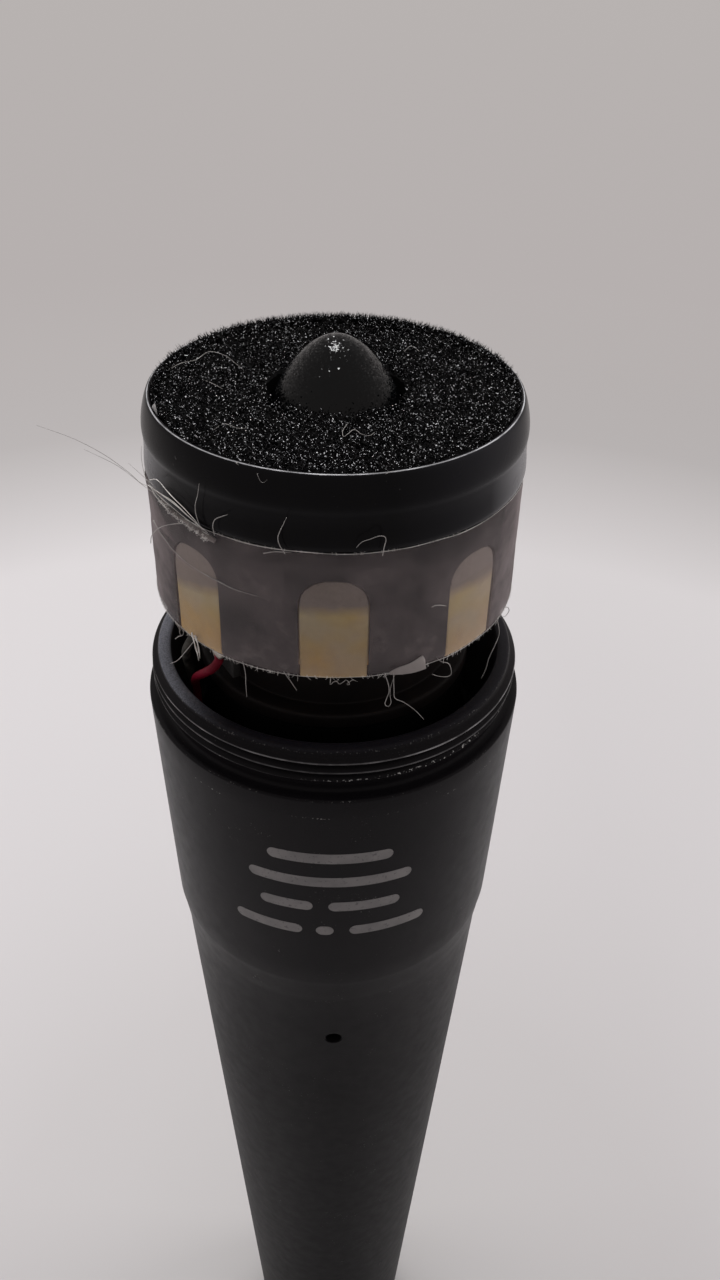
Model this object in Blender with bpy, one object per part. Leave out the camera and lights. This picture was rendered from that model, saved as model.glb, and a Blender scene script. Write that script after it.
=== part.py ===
"""A wired dynamic microphone with its grille off, standing on the end ring of its handle.

Metres, +Z up, origin at the centre of the handle's bottom ring. The front, with the small
hole in the barrel, faces -Y. Azimuths are in degrees, 0 at the front and 90 at +X.
"""

from math import cos, hypot, pi, radians, sin, sqrt, tan

import bmesh
import bpy
from mathutils import Matrix, Vector

# Fits
SEAT_GAP = 0.0003  # between faces that seat on each other
TURN_STEPS = 48  # facets round the large turned pieces
INNER_TURN_STEPS = 32  # facets round the turned pieces inside them
SMALL_TURN_STEPS = 12  # facets round pins, joints and small holes
FILLET_STEPS = 2
SHARP_ANGLE = 35.0
OVERCUT = 0.002  # how far a cutter runs past the face that it opens

# Handle, a die casting in one piece
BARREL_HEIGHT = 0.1140  # top of the straight taper
COLLAR_CHAMFER = 0.0045  # height of the sloping step from barrel to collar
COLLAR_STEP = 0.0006  # how far that step stands out
COLLAR_LENGTH = 0.02758
COLLAR_TAPER = 0.00078  # growth in radius over the collar's length
SHOULDER_WIDTH = 0.00058
SHOULDER_EASE = 0.0002
NECK_RADIUS = 0.0180  # over the grille thread
NECK_LENGTH = 0.0049  # from the shoulder to the rim
NECK_WALL = 0.00191
GROOVE_DEPTH = 0.0007
GROOVE_WIDTH = 0.0013
GROOVE_ROOT = 0.0003  # height of the fillet at the groove's foot
THREAD_CLEARANCE = 0.00005  # of the shoulder's flat face outside the thread
RIM_CHAMFER = 0.00068
HANDLE_WALL = 0.0021
EDGE_EASE = 0.0004
POCKET_DEPTH = 0.0230  # from the rim down to the ledge that carries the shock mount
POCKET_DRAFT = 0.0003
SIDE_HOLE_RADIUS = 0.0009
SIDE_HOLE_HEIGHT = 0.1068
SIDE_HOLE_AZIMUTH = 2.5

# Connector in the handle's end
SOCKET_RADIUS = 0.0095
END_WALL = 0.00193
SOCKET_DEPTH = 0.0165  # from the end ring to the insert's face
LATCH_GROOVE_HEIGHT = 0.0042
LATCH_GROOVE_WIDTH = 0.0024
LATCH_GROOVE_DEPTH = 0.0004
INSERT_THICKNESS = 0.0080
GROUND_RING_THICKNESS = 0.0004
GROUND_RING_WIDTH = 0.0012
GROUND_EAR_WIDTH = 0.0042
CORE_LEDGE_WIDTH = 0.0009
CORE_LEDGE_THICKNESS = 0.0020
PIN_CIRCLE_RADIUS = 0.0049
PIN_AZIMUTHS = {"xlr_pin_1": 135.0, "xlr_pin_2": 0.0, "xlr_pin_3": -112.5}
PIN_RADIUS = 0.0012
PIN_LENGTH = 0.0149  # in front of the insert's face
PIN_TAIL = 0.0053  # solder cup behind the insert
PIN_TIP_EASE = 0.0009
PIN_SHOULDER_RADIUS = 0.0019
PIN_SHOULDER_THICKNESS = 0.0006
CUP_DEPTH = 0.0030
SET_SCREW_RADIUS = 0.0015
SET_SCREW_LENGTH = 0.0030
SET_SCREW_AZIMUTH = 180.0
SET_SCREW_SOCKET_RADIUS = 0.0008
SET_SCREW_SOCKET_DEPTH = 0.0012
DIMPLE_DEPTH = 0.0008

# Shock mount, a rubber ring between the handle's pocket and the rear chamber
MOUNT_RING_HEIGHT = 0.0117
MOUNT_WALL = 0.0012
MOUNT_WEB_LIFT = 0.0040
MOUNT_WEB_THICKNESS = 0.0030
MOUNT_SLEEVE_LIFT = 0.0020
LEAD_NOTCH_WIDTH = 0.0044
LEAD_NOTCH_AZIMUTH = -70.5

# Capsule: heights run up from the lower edge of its screen
SCREEN_LIFT = 0.0077  # lower edge of the screen above the handle's rim
SCREEN_HEIGHT = 0.0118
SCREEN_THICKNESS = 0.0002
SCREEN_INSET = 0.00129  # of the screen's foot inside the thread, so that the grille passes over
SCREEN_DRAFT = 0.00014
HOUSING_WALL = 0.0005
HOUSING_NECK_HEIGHT = 0.0015
HOUSING_SHELF_THICKNESS = 0.0023
HOUSING_SHELF_WIDTH = 0.0028
WINDOW_COUNT = 8
WINDOW_WIDTH = 0.0058
WINDOW_STRAIGHT = 0.0065  # from the screen's lower edge to where the arch starts
WINDOW_ARCH_STEPS = 8
WINDOW_TURN = 1.5  # azimuth of the front window

FRAME_HEIGHT = 0.0067
FRAME_FLOOR = 0.0008
FRAME_WALL = 0.00397
FRAME_VENT_RADIUS = 0.0030
FELT_WIDTH = 0.0014
YOKE_WALL = 0.0021
YOKE_FLOOR = 0.0020
YOKE_HEIGHT = 0.0093
YOKE_VENT_RADIUS = 0.0015
MAGNETIC_GAP = 0.0014  # between the pole piece and the yoke's wall
POLE_THICKNESS = 0.0027
COIL_WALL = 0.0006
COIL_CLEARANCE = 0.0004
COIL_DEPTH = 0.0021  # how far the coil dips below the pole's top face
FILM_THICKNESS = 0.00025
FILM_DOME_RISE = 0.0008
FILM_ROLL_RISE = 0.0005
FILM_DOME_STEPS = 3
FILM_ROLL_STEPS = 4
CLAMP_RING_WIDTH = 0.0020
CLAMP_RING_THICKNESS = 0.0007

RESONATOR_THICKNESS = 0.0011
RESONATOR_SHELL = 0.0010
RESONATOR_HOLE_COUNT = 8
RESONATOR_HOLE_RADIUS = 0.0012
RESONATOR_HOLE_INSET = 0.00471  # of the holes' centres from the plate's edge
DOME_RADIUS = 0.0053
DOME_HEIGHT = 0.00654
DOME_STEPS = 6
FOAM_THICKNESS = 0.0018
FOAM_HOLE_RADIUS = 0.0058

CAP_WALL = 0.00105
CAP_FLARE = 0.00008  # the foot's overhang past the screen
CAP_WAIST_INSET = 0.00015  # insets from the foot
CAP_BELLY_INSET = 0.00009
CAP_SHOULDER_INSET = 0.0004
CAP_TOP_INSET = 0.0007
CAP_WAIST_SHARE = 0.30  # heights as shares of the ring's own height
CAP_BELLY_SHARE = 0.61
CAP_SHOULDER_SHARE = 0.84

# Rear chamber, the closed cup below the capsule
MOUNT_SPAN = 0.00429  # from the pocket's wall in to the chamber
CHAMBER_WALL = 0.0010
CHAMBER_DEPTH = 0.0340
CHAMBER_FLANGE_THICKNESS = 0.0012
CHAMBER_FLANGE_INSET = 0.0014
CHAMBER_COLLAR_STEP = 0.0017
CHAMBER_COLLAR_THICKNESS = 0.0014
CHAMBER_COLLAR_DROP = 0.0086  # its lower face below the flange's top

# Terminals and leads
BOARD_AZIMUTH = -57.5
BOARD_WIDTH = 0.0080
BOARD_HEIGHT = 0.0040
BOARD_THICKNESS = 0.0008
BOARD_STANDOFF = 0.0015  # of its outer face, from the chamber
JOINT_RADIUS = 0.0009
JOINT_FLATTENING = 0.45
JOINT_SPREAD = 0.0026
JOINT_DROP = 0.0015
LEAD_RADIUS = 0.0005
LEAD_STEP = 0.0029
ROUTE_SAMPLES = 24  # between two points of a route

# Heights
COLLAR_FOOT = BARREL_HEIGHT + COLLAR_CHAMFER
SHOULDER = COLLAR_FOOT + COLLAR_LENGTH
RIM = SHOULDER + NECK_LENGTH
MOUNT_LEDGE = RIM - POCKET_DEPTH
INSERT_BACK = SOCKET_DEPTH + INSERT_THICKNESS
GROUND_RING_BACK = INSERT_BACK + SEAT_GAP + GROUND_RING_THICKNESS
CORE_LEDGE = GROUND_RING_BACK + SEAT_GAP
BORE_FOOT = CORE_LEDGE + CORE_LEDGE_THICKNESS
SCREEN_FOOT = RIM + SCREEN_LIFT
SCREEN_TOP = SCREEN_FOOT + SCREEN_HEIGHT
FRAME_FOOT = SCREEN_FOOT + SEAT_GAP
FRAME_TOP = FRAME_FOOT + FRAME_HEIGHT
YOKE_FOOT = FRAME_FOOT + FRAME_FLOOR + SEAT_GAP
YOKE_TOP = YOKE_FOOT + YOKE_HEIGHT
MAGNET_FOOT = YOKE_FOOT + YOKE_FLOOR + SEAT_GAP
POLE_FOOT = YOKE_TOP - POLE_THICKNESS
CAP_FOOT = SCREEN_TOP + SEAT_GAP
HOUSING_TOP = SCREEN_TOP + HOUSING_NECK_HEIGHT
FILM_FOOT = HOUSING_TOP + SEAT_GAP
CLAMP_FOOT = FILM_FOOT + FILM_THICKNESS + SEAT_GAP
RESONATOR_FOOT = CLAMP_FOOT + CLAMP_RING_THICKNESS + SEAT_GAP
RESONATOR_TOP = RESONATOR_FOOT + RESONATOR_THICKNESS
FOAM_FOOT = RESONATOR_TOP + SEAT_GAP
CAP_TOP = FOAM_FOOT + FOAM_THICKNESS
CHAMBER_TOP = SCREEN_FOOT - SEAT_GAP / 3
CHAMBER_FLANGE_FOOT = CHAMBER_TOP - CHAMBER_FLANGE_THICKNESS
CHAMBER_COLLAR_FOOT = CHAMBER_TOP - CHAMBER_COLLAR_DROP

# Radii that follow a neighbour
GROOVE_RADIUS = NECK_RADIUS - GROOVE_DEPTH
RIM_RADIUS = NECK_RADIUS - RIM_CHAMFER
MOUTH_RADIUS = NECK_RADIUS - NECK_WALL
COLLAR_TOP_RADIUS = NECK_RADIUS + SHOULDER_WIDTH
COLLAR_FOOT_RADIUS = COLLAR_TOP_RADIUS - COLLAR_TAPER
BARREL_TOP_RADIUS = COLLAR_FOOT_RADIUS - COLLAR_STEP
END_RADIUS = SOCKET_RADIUS + END_WALL
BARREL_SLOPE = (BARREL_TOP_RADIUS - END_RADIUS) / BARREL_HEIGHT
POCKET_RADIUS = MOUTH_RADIUS - POCKET_DRAFT
BORE_TOP_RADIUS = BARREL_TOP_RADIUS - HANDLE_WALL
CHAMBER_RADIUS = POCKET_RADIUS - MOUNT_SPAN
BOARD_RADIUS = CHAMBER_RADIUS + BOARD_STANDOFF
INSERT_RADIUS = SOCKET_RADIUS - SEAT_GAP
SCREEN_FOOT_RADIUS = NECK_RADIUS - SCREEN_INSET
SCREEN_TOP_RADIUS = SCREEN_FOOT_RADIUS - SCREEN_DRAFT
SCREEN_BACKING = SCREEN_THICKNESS + SEAT_GAP
HOUSING_BORE_RADIUS = SCREEN_TOP_RADIUS - SCREEN_BACKING - HOUSING_WALL
FRAME_RADIUS = HOUSING_BORE_RADIUS - SEAT_GAP
FRAME_BORE_RADIUS = FRAME_RADIUS - FRAME_WALL
YOKE_RADIUS = FRAME_BORE_RADIUS - SEAT_GAP
YOKE_BORE_RADIUS = YOKE_RADIUS - YOKE_WALL
POLE_RADIUS = YOKE_BORE_RADIUS - MAGNETIC_GAP
CAP_FOOT_RADIUS = SCREEN_TOP_RADIUS + CAP_FLARE
CAP_BORE_RADIUS = CAP_FOOT_RADIUS - CAP_BELLY_INSET - CAP_WALL
CAP_FILL_RADIUS = CAP_BORE_RADIUS - SEAT_GAP
SHELF_BORE_RADIUS = CAP_FILL_RADIUS - HOUSING_SHELF_WIDTH
RESONATOR_HOLE_CIRCLE = CAP_FILL_RADIUS - RESONATOR_HOLE_INSET
COIL_INNER_RADIUS = POLE_RADIUS + COIL_CLEARANCE
COIL_OUTER_RADIUS = COIL_INNER_RADIUS + COIL_WALL
JOINT_HEIGHT = CHAMBER_FLANGE_FOOT - SEAT_GAP - JOINT_DROP

# Lead routes in route units: the upper stretch as (inset from the mouth's radius, azimuth in
# degrees, height from the rim), and the lower as (offset from the pins' circle, azimuth in
# degrees, height from the insert's back)
ROUTE_UNIT_LENGTH = 0.001
RED_UPPER = [
    (2.14, -47, 3.2), (1.89, -50.5, 2.1), (1.59, -57, 0.6), (1.39, -63, -1), (1.79, -66.5, -3.6),
    (1.89, -67, -9), (1.89, -67, -17), (2.19, -64, -24.5), (2.39, -44, -33), (2.19, -17, -40),
    (2.24, 2.5, -44.2), (2.89, 13, -52), (3.49, 16, -64),
]
RED_LOWER = [
    (6.8, 12, 45.5), (5.6, 6, 29.5), (3.5, 1, 16.5), (0.6, 0, 9), (0, 0, 6), (0, 0, 3),
]
WHITE_UPPER = [
    (2.09, -68, 3.2), (1.29, -67.5, 2), (1.29, -71.5, 0), (1.84, -74, -3.5), (1.89, -74, -10),
    (1.89, -74, -17), (2.29, -76, -24.5), (2.69, -80, -34), (3.29, -88, -47), (3.89, -97, -63),
]
WHITE_LOWER = [
    (6.4, -104, 45.5), (5.1, -109, 28.5), (3.1, -112.5, 15.5), (0.6, -112.5, 8.5), (0, -112.5, 6),
    (0, -112.5, 3),
]


def clear_scene():
    for obj in list(bpy.data.objects):
        bpy.data.objects.remove(obj, do_unlink=True)


def polar(radius, azimuth, height=0.0):
    angle = radians(azimuth)
    return Vector((radius * sin(angle), -radius * cos(angle), height))


def make_material(name, colour, roughness, metallic=0.0):
    material = bpy.data.materials.new(name)
    material.use_nodes = True
    shader = material.node_tree.nodes["Principled BSDF"]
    shader.inputs["Base Color"].default_value = (*colour, 1.0)
    shader.inputs["Roughness"].default_value = roughness
    shader.inputs["Metallic"].default_value = metallic
    return material


def filleted(corners, steps=FILLET_STEPS):
    """The closed outline through corners of (r, z, fillet), each fillet limited by its sides."""
    points = []
    for index, (r, z, fillet) in enumerate(corners):
        here = Vector((r, z))
        before = Vector(corners[index - 1][:2]) - here
        after = Vector(corners[(index + 1) % len(corners)][:2]) - here
        if not fillet:
            points.append(here)
            continue
        half = before.angle(after) / 2
        reach = min(fillet / tan(half), before.length * 0.45, after.length * 0.45)
        radius = reach * tan(half)
        bisector = (before.normalized() + after.normalized()).normalized()
        centre = here + bisector * hypot(reach, radius)
        start = here + before.normalized() * reach - centre
        end = here + after.normalized() * reach - centre
        sweep = start.angle_signed(end)
        for step in range(steps + 1):
            turned_by = Matrix.Rotation(-sweep * step / steps, 2)
            points.append(centre + turned_by @ start)
    return points


def finish(mesh_builder, name, material):
    """Turns a bmesh into a smooth-shaded object whose faces point out."""
    bmesh.ops.recalc_face_normals(mesh_builder, faces=mesh_builder.faces)
    mesh = bpy.data.meshes.new(name)
    mesh_builder.to_mesh(mesh)
    mesh_builder.free()
    mesh.shade_smooth()
    mesh.set_sharp_from_angle(angle=radians(SHARP_ANGLE))
    obj = bpy.data.objects.new(name, mesh)
    bpy.context.scene.collection.objects.link(obj)
    if material:
        mesh.materials.append(material)
    return obj


def turned(name, outline, material=None, steps=TURN_STEPS):
    """Spins a closed outline of (r, z) points about Z."""
    build = bmesh.new()
    verts = [build.verts.new((r, 0.0, z)) for r, z in outline]
    edges = [build.edges.new((a, b)) for a, b in zip(verts, verts[1:] + verts[:1])]
    on_axis = [edge for edge in edges if max(abs(vert.co.x) for vert in edge.verts) < 1e-7]
    for edge in on_axis:
        build.edges.remove(edge)
        edges.remove(edge)
    bmesh.ops.spin(build, geom=verts + edges, axis=(0, 0, 1), cent=(0, 0, 0),
                   angle=2 * pi, steps=steps, use_duplicate=False)
    bmesh.ops.remove_doubles(build, verts=build.verts, dist=1e-6)
    return finish(build, name, material)


def prism(name, outline, depth, material=None):
    """Extrudes a closed outline of (x, z) points by depth along +Y."""
    build = bmesh.new()
    face = build.faces.new([build.verts.new((x, 0.0, z)) for x, z in outline])
    side = bmesh.ops.extrude_face_region(build, geom=[face])
    moved = [item for item in side["geom"] if isinstance(item, bmesh.types.BMVert)]
    bmesh.ops.translate(build, verts=moved, vec=(0.0, depth, 0.0))
    return finish(build, name, material)


def rod(name, radius, start, end, material=None, steps=SMALL_TURN_STEPS):
    """A plain cylinder between two points."""
    axis = end - start
    build = bmesh.new()
    bmesh.ops.create_cone(build, cap_ends=True, segments=steps, radius1=radius, radius2=radius,
                          depth=axis.length)
    obj = finish(build, name, material)
    obj.rotation_euler = axis.to_track_quat("Z", "Y").to_euler()
    obj.location = (start + end) / 2
    return obj


def join_cutters(name, pieces):
    """Makes one cutter mesh from several bodies that don't touch."""
    build = bmesh.new()
    bpy.context.view_layer.update()
    for piece in pieces:
        part_mesh = piece.data.copy()
        part_mesh.transform(piece.matrix_world)
        build.from_mesh(part_mesh)
        bpy.data.meshes.remove(part_mesh)
        bpy.data.objects.remove(piece, do_unlink=True)
    return finish(build, name, None)


def cut(target, cutter, operation="DIFFERENCE"):
    cutter.hide_render = True
    cutter.display_type = "WIRE"
    modifier = target.modifiers.new(cutter.name, "BOOLEAN")
    modifier.operation = operation
    modifier.solver = "EXACT"
    modifier.object = cutter


def barrel_radius(height):
    return END_RADIUS + BARREL_SLOPE * height


def handle_shell(material):
    """One casting: tapered barrel, collar, threaded neck, capsule pocket and connector socket."""
    groove_top = SHOULDER + GROOVE_WIDTH
    latch_radius = SOCKET_RADIUS + LATCH_GROOVE_DEPTH
    latch_top = LATCH_GROOVE_HEIGHT + LATCH_GROOVE_WIDTH
    ledge_radius = SOCKET_RADIUS - CORE_LEDGE_WIDTH
    outline = filleted([
        (END_RADIUS, 0.0, EDGE_EASE),
        (BARREL_TOP_RADIUS, BARREL_HEIGHT, 0.0),
        (COLLAR_FOOT_RADIUS, COLLAR_FOOT, 0.0),
        (COLLAR_TOP_RADIUS, SHOULDER, SHOULDER_EASE),
        (NECK_RADIUS + THREAD_CLEARANCE, SHOULDER, 0.0),
        (GROOVE_RADIUS, SHOULDER + GROOVE_ROOT, 0.0),
        (GROOVE_RADIUS, groove_top, 0.0),
        (NECK_RADIUS, groove_top + GROOVE_DEPTH, 0.0),
        (NECK_RADIUS, RIM - RIM_CHAMFER, 0.0),
        (RIM_RADIUS, RIM, 0.0),
        (MOUTH_RADIUS, RIM, EDGE_EASE),
        (POCKET_RADIUS, MOUNT_LEDGE, 0.0),
        (BORE_TOP_RADIUS, MOUNT_LEDGE, 0.0),
        (BORE_TOP_RADIUS, BARREL_HEIGHT, 0.0),
        (barrel_radius(BORE_FOOT) - HANDLE_WALL, BORE_FOOT, 0.0),
        (ledge_radius, BORE_FOOT, 0.0),
        (ledge_radius, CORE_LEDGE, 0.0),
        (SOCKET_RADIUS, CORE_LEDGE, 0.0),
        (SOCKET_RADIUS, latch_top + LATCH_GROOVE_DEPTH, 0.0),
        (latch_radius, latch_top, 0.0),
        (latch_radius, LATCH_GROOVE_HEIGHT, 0.0),
        (SOCKET_RADIUS, LATCH_GROOVE_HEIGHT - LATCH_GROOVE_DEPTH, 0.0),
        (SOCKET_RADIUS, 0.0, EDGE_EASE),
    ])
    shell = turned("handle_shell", outline, material)
    hole_start = polar(BORE_TOP_RADIUS - HANDLE_WALL, SIDE_HOLE_AZIMUTH, SIDE_HOLE_HEIGHT)
    hole_end = polar(COLLAR_TOP_RADIUS + OVERCUT, SIDE_HOLE_AZIMUTH, SIDE_HOLE_HEIGHT)
    cut(shell, rod("side_hole_cutter", SIDE_HOLE_RADIUS, hole_start, hole_end))
    screw_start = polar(SOCKET_RADIUS - OVERCUT, SET_SCREW_AZIMUTH, set_screw_height())
    screw_end = polar(barrel_radius(INSERT_BACK) + OVERCUT, SET_SCREW_AZIMUTH, set_screw_height())
    cut(shell, rod("screw_hole_cutter", SET_SCREW_RADIUS + SEAT_GAP, screw_start, screw_end))
    return shell


def set_screw_height():
    return SOCKET_DEPTH + INSERT_THICKNESS / 2


def xlr_insert(material):
    """The plastic disc that carries the three pins."""
    insert = turned("xlr_insert", filleted([
        (0.0, SOCKET_DEPTH, 0.0),
        (INSERT_RADIUS, SOCKET_DEPTH, EDGE_EASE),
        (INSERT_RADIUS, INSERT_BACK, 0.0),
        (0.0, INSERT_BACK, 0.0),
    ]), material, steps=INNER_TURN_STEPS)
    holes = []
    for name, azimuth in PIN_AZIMUTHS.items():
        low = polar(PIN_CIRCLE_RADIUS, azimuth, SOCKET_DEPTH - OVERCUT)
        high = polar(PIN_CIRCLE_RADIUS, azimuth, INSERT_BACK + OVERCUT)
        holes.append(rod(name + "_hole", PIN_RADIUS + SEAT_GAP, low, high))
    deep = polar(INSERT_RADIUS - DIMPLE_DEPTH, SET_SCREW_AZIMUTH, set_screw_height())
    out = polar(INSERT_RADIUS + OVERCUT, SET_SCREW_AZIMUTH, set_screw_height())
    holes.append(rod("dimple", SET_SCREW_RADIUS + SEAT_GAP, deep, out))
    cut(insert, join_cutters("insert_cutter", holes))


def xlr_pins(material):
    """Turned pins with a round tip, a shoulder and a solder cup at the back."""
    tip = SOCKET_DEPTH - PIN_LENGTH
    shoulder = GROUND_RING_BACK + SEAT_GAP
    tail = INSERT_BACK + PIN_TAIL
    cup_radius = LEAD_RADIUS + SEAT_GAP
    outline = filleted([
        (0.0, tip, 0.0),
        (PIN_RADIUS, tip, PIN_TIP_EASE),
        (PIN_RADIUS, shoulder, 0.0),
        (PIN_SHOULDER_RADIUS, shoulder, 0.0),
        (PIN_SHOULDER_RADIUS, shoulder + PIN_SHOULDER_THICKNESS, 0.0),
        (PIN_RADIUS, shoulder + PIN_SHOULDER_THICKNESS, 0.0),
        (PIN_RADIUS, tail, 0.0),
        (cup_radius, tail, 0.0),
        (cup_radius, tail - CUP_DEPTH, 0.0),
        (0.0, tail - CUP_DEPTH, 0.0),
    ])
    for name, azimuth in PIN_AZIMUTHS.items():
        pin = turned(name, outline, material, steps=SMALL_TURN_STEPS)
        pin.location = polar(PIN_CIRCLE_RADIUS, azimuth)


def ground_ring(material):
    """A contact ring pressed against the casting, with an ear round pin 1."""
    foot = INSERT_BACK + SEAT_GAP
    top = GROUND_RING_BACK
    outer = INSERT_RADIUS
    inner = outer - GROUND_RING_WIDTH
    ring = turned("ground_ring", [(outer, foot), (outer, top), (inner, top), (inner, foot)], material,
                  steps=INNER_TURN_STEPS)
    azimuth = PIN_AZIMUTHS["xlr_pin_1"]
    half = GROUND_EAR_WIDTH / 2
    near = outer - GROUND_RING_WIDTH / 2
    far = PIN_CIRCLE_RADIUS - half
    ear = prism("ground_ear", [(-half, foot), (half, foot), (half, top), (-half, top)], near - far)
    ear.location = polar(near, azimuth)
    ear.rotation_euler = (0.0, 0.0, radians(azimuth))
    cut(ring, ear, "UNION")
    low = polar(PIN_CIRCLE_RADIUS, azimuth, foot - OVERCUT)
    high = polar(PIN_CIRCLE_RADIUS, azimuth, top + OVERCUT)
    cut(ring, rod("ground_ear_hole", PIN_RADIUS + SEAT_GAP, low, high))


def set_screw(material):
    """The headless screw that holds the insert, flush in the barrel."""
    inner = INSERT_RADIUS - DIMPLE_DEPTH + SEAT_GAP
    outer = inner + SET_SCREW_LENGTH
    start = polar(inner, SET_SCREW_AZIMUTH, set_screw_height())
    end = polar(outer, SET_SCREW_AZIMUTH, set_screw_height())
    screw = rod("xlr_set_screw", SET_SCREW_RADIUS, start, end, material)
    socket_start = polar(outer - SET_SCREW_SOCKET_DEPTH, SET_SCREW_AZIMUTH, set_screw_height())
    socket_end = polar(outer + OVERCUT, SET_SCREW_AZIMUTH, set_screw_height())
    cut(screw, rod("screw_socket_cutter", SET_SCREW_SOCKET_RADIUS, socket_start, socket_end, steps=6))


def shock_mount(material):
    """Outer ring on the handle's ledge, web, and inner sleeve under the rear chamber's collar."""
    foot = MOUNT_LEDGE + SEAT_GAP
    outer = POCKET_RADIUS - SEAT_GAP
    ring_bore = outer - MOUNT_WALL
    sleeve_bore = CHAMBER_RADIUS + SEAT_GAP
    sleeve = sleeve_bore + MOUNT_WALL
    web_foot = foot + MOUNT_WEB_LIFT
    web_top = web_foot + MOUNT_WEB_THICKNESS
    ring_top = foot + MOUNT_RING_HEIGHT
    sleeve_top = CHAMBER_COLLAR_FOOT - SEAT_GAP
    mount = turned("shock_mount", filleted([
        (outer, foot, EDGE_EASE),
        (outer, ring_top, EDGE_EASE),
        (ring_bore, ring_top, 0.0),
        (ring_bore, web_top, 0.0),
        (sleeve, web_top, 0.0),
        (sleeve, sleeve_top, EDGE_EASE),
        (sleeve_bore, sleeve_top, 0.0),
        (sleeve_bore, foot + MOUNT_SLEEVE_LIFT, 0.0),
        (sleeve, foot + MOUNT_SLEEVE_LIFT, 0.0),
        (sleeve, web_foot, 0.0),
        (ring_bore, web_foot, 0.0),
        (ring_bore, foot, 0.0),
    ]), material, steps=INNER_TURN_STEPS)
    half = LEAD_NOTCH_WIDTH / 2
    low = foot - OVERCUT
    high = ring_top + OVERCUT
    notch_depth = outer + OVERCUT - sleeve - SEAT_GAP
    notch = prism("lead_notch", [(-half, low), (half, low), (half, high), (-half, high)], notch_depth)
    notch.location = polar(outer + OVERCUT, LEAD_NOTCH_AZIMUTH)
    notch.rotation_euler = (0.0, 0.0, radians(LEAD_NOTCH_AZIMUTH))
    cut(mount, notch)


def rear_chamber(material):
    """The closed air volume behind the transducer, a cup that hangs by its collar in the mount."""
    bore = CHAMBER_RADIUS - CHAMBER_WALL
    foot = CHAMBER_TOP - CHAMBER_DEPTH
    collar_top = CHAMBER_COLLAR_FOOT + CHAMBER_COLLAR_THICKNESS
    flange = FRAME_RADIUS - CHAMBER_FLANGE_INSET
    turned("rear_chamber", filleted([
        (0.0, foot, 0.0),
        (CHAMBER_RADIUS, foot, EDGE_EASE * 2),
        (CHAMBER_RADIUS, CHAMBER_COLLAR_FOOT, 0.0),
        (CHAMBER_RADIUS + CHAMBER_COLLAR_STEP, CHAMBER_COLLAR_FOOT, 0.0),
        (CHAMBER_RADIUS + CHAMBER_COLLAR_STEP, collar_top, EDGE_EASE),
        (CHAMBER_RADIUS, collar_top, 0.0),
        (CHAMBER_RADIUS, CHAMBER_FLANGE_FOOT, 0.0),
        (flange, CHAMBER_FLANGE_FOOT, 0.0),
        (flange, CHAMBER_TOP, 0.0),
        (bore, CHAMBER_TOP, 0.0),
        (bore, foot + CHAMBER_WALL, 0.0),
        (0.0, foot + CHAMBER_WALL, 0.0),
    ]), material, steps=INNER_TURN_STEPS)


def cartridge_housing(material):
    """A turned cup, open below, with arched sound ports all round and a shelf for the diaphragm."""
    outer_foot = SCREEN_FOOT_RADIUS - SCREEN_BACKING
    outer_top = SCREEN_TOP_RADIUS - SCREEN_BACKING
    shelf_foot = HOUSING_TOP - HOUSING_SHELF_THICKNESS
    housing = turned("cartridge_housing", [
        (outer_foot, SCREEN_FOOT),
        (outer_top, SCREEN_TOP),
        (CAP_FILL_RADIUS, SCREEN_TOP),
        (CAP_FILL_RADIUS, HOUSING_TOP),
        (SHELF_BORE_RADIUS, HOUSING_TOP),
        (SHELF_BORE_RADIUS, shelf_foot),
        (HOUSING_BORE_RADIUS, shelf_foot),
        (HOUSING_BORE_RADIUS, SCREEN_FOOT),
    ], material)
    half = WINDOW_WIDTH / 2
    spring = SCREEN_FOOT + WINDOW_STRAIGHT
    arch = [(half * cos(pi * step / WINDOW_ARCH_STEPS), spring + half * sin(pi * step / WINDOW_ARCH_STEPS))
            for step in range(WINDOW_ARCH_STEPS + 1)]
    outline = [(-half, SCREEN_FOOT - OVERCUT), (half, SCREEN_FOOT - OVERCUT)] + arch
    windows = []
    for index in range(WINDOW_COUNT):
        azimuth = WINDOW_TURN + 360 * index / WINDOW_COUNT
        start = outer_foot + OVERCUT
        window = prism("window_%d" % index, outline, start - HOUSING_BORE_RADIUS + OVERCUT)
        window.location = polar(start, azimuth)
        window.rotation_euler = (0.0, 0.0, radians(azimuth))
        windows.append(window)
    cut(housing, join_cutters("window_cutter", windows))


def screen_tape(material):
    """The woven screen wound once round the housing, as a plain closed band."""
    turned("screen_tape", [
        (SCREEN_FOOT_RADIUS, SCREEN_FOOT),
        (SCREEN_TOP_RADIUS, SCREEN_TOP),
        (SCREEN_TOP_RADIUS - SCREEN_THICKNESS, SCREEN_TOP),
        (SCREEN_FOOT_RADIUS - SCREEN_THICKNESS, SCREEN_FOOT),
    ], material)


def transducer_frame(material):
    """The cream cup behind the windows, which holds the magnet system."""
    turned("transducer_frame", [
        (FRAME_RADIUS, FRAME_FOOT),
        (FRAME_RADIUS, FRAME_TOP),
        (FRAME_BORE_RADIUS, FRAME_TOP),
        (FRAME_BORE_RADIUS, FRAME_FOOT + FRAME_FLOOR),
        (FRAME_VENT_RADIUS, FRAME_FOOT + FRAME_FLOOR),
        (FRAME_VENT_RADIUS, FRAME_FOOT),
    ], material, steps=INNER_TURN_STEPS)


def felt_ring(material):
    """The grey resistance felt above the cream cup, behind the tops of the windows."""
    foot = FRAME_TOP + SEAT_GAP
    top = HOUSING_TOP - HOUSING_SHELF_THICKNESS - SEAT_GAP
    inner = FRAME_RADIUS - FELT_WIDTH
    turned("felt_ring", [(FRAME_RADIUS, foot), (FRAME_RADIUS, top), (inner, top), (inner, foot)], material,
           steps=INNER_TURN_STEPS)


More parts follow.
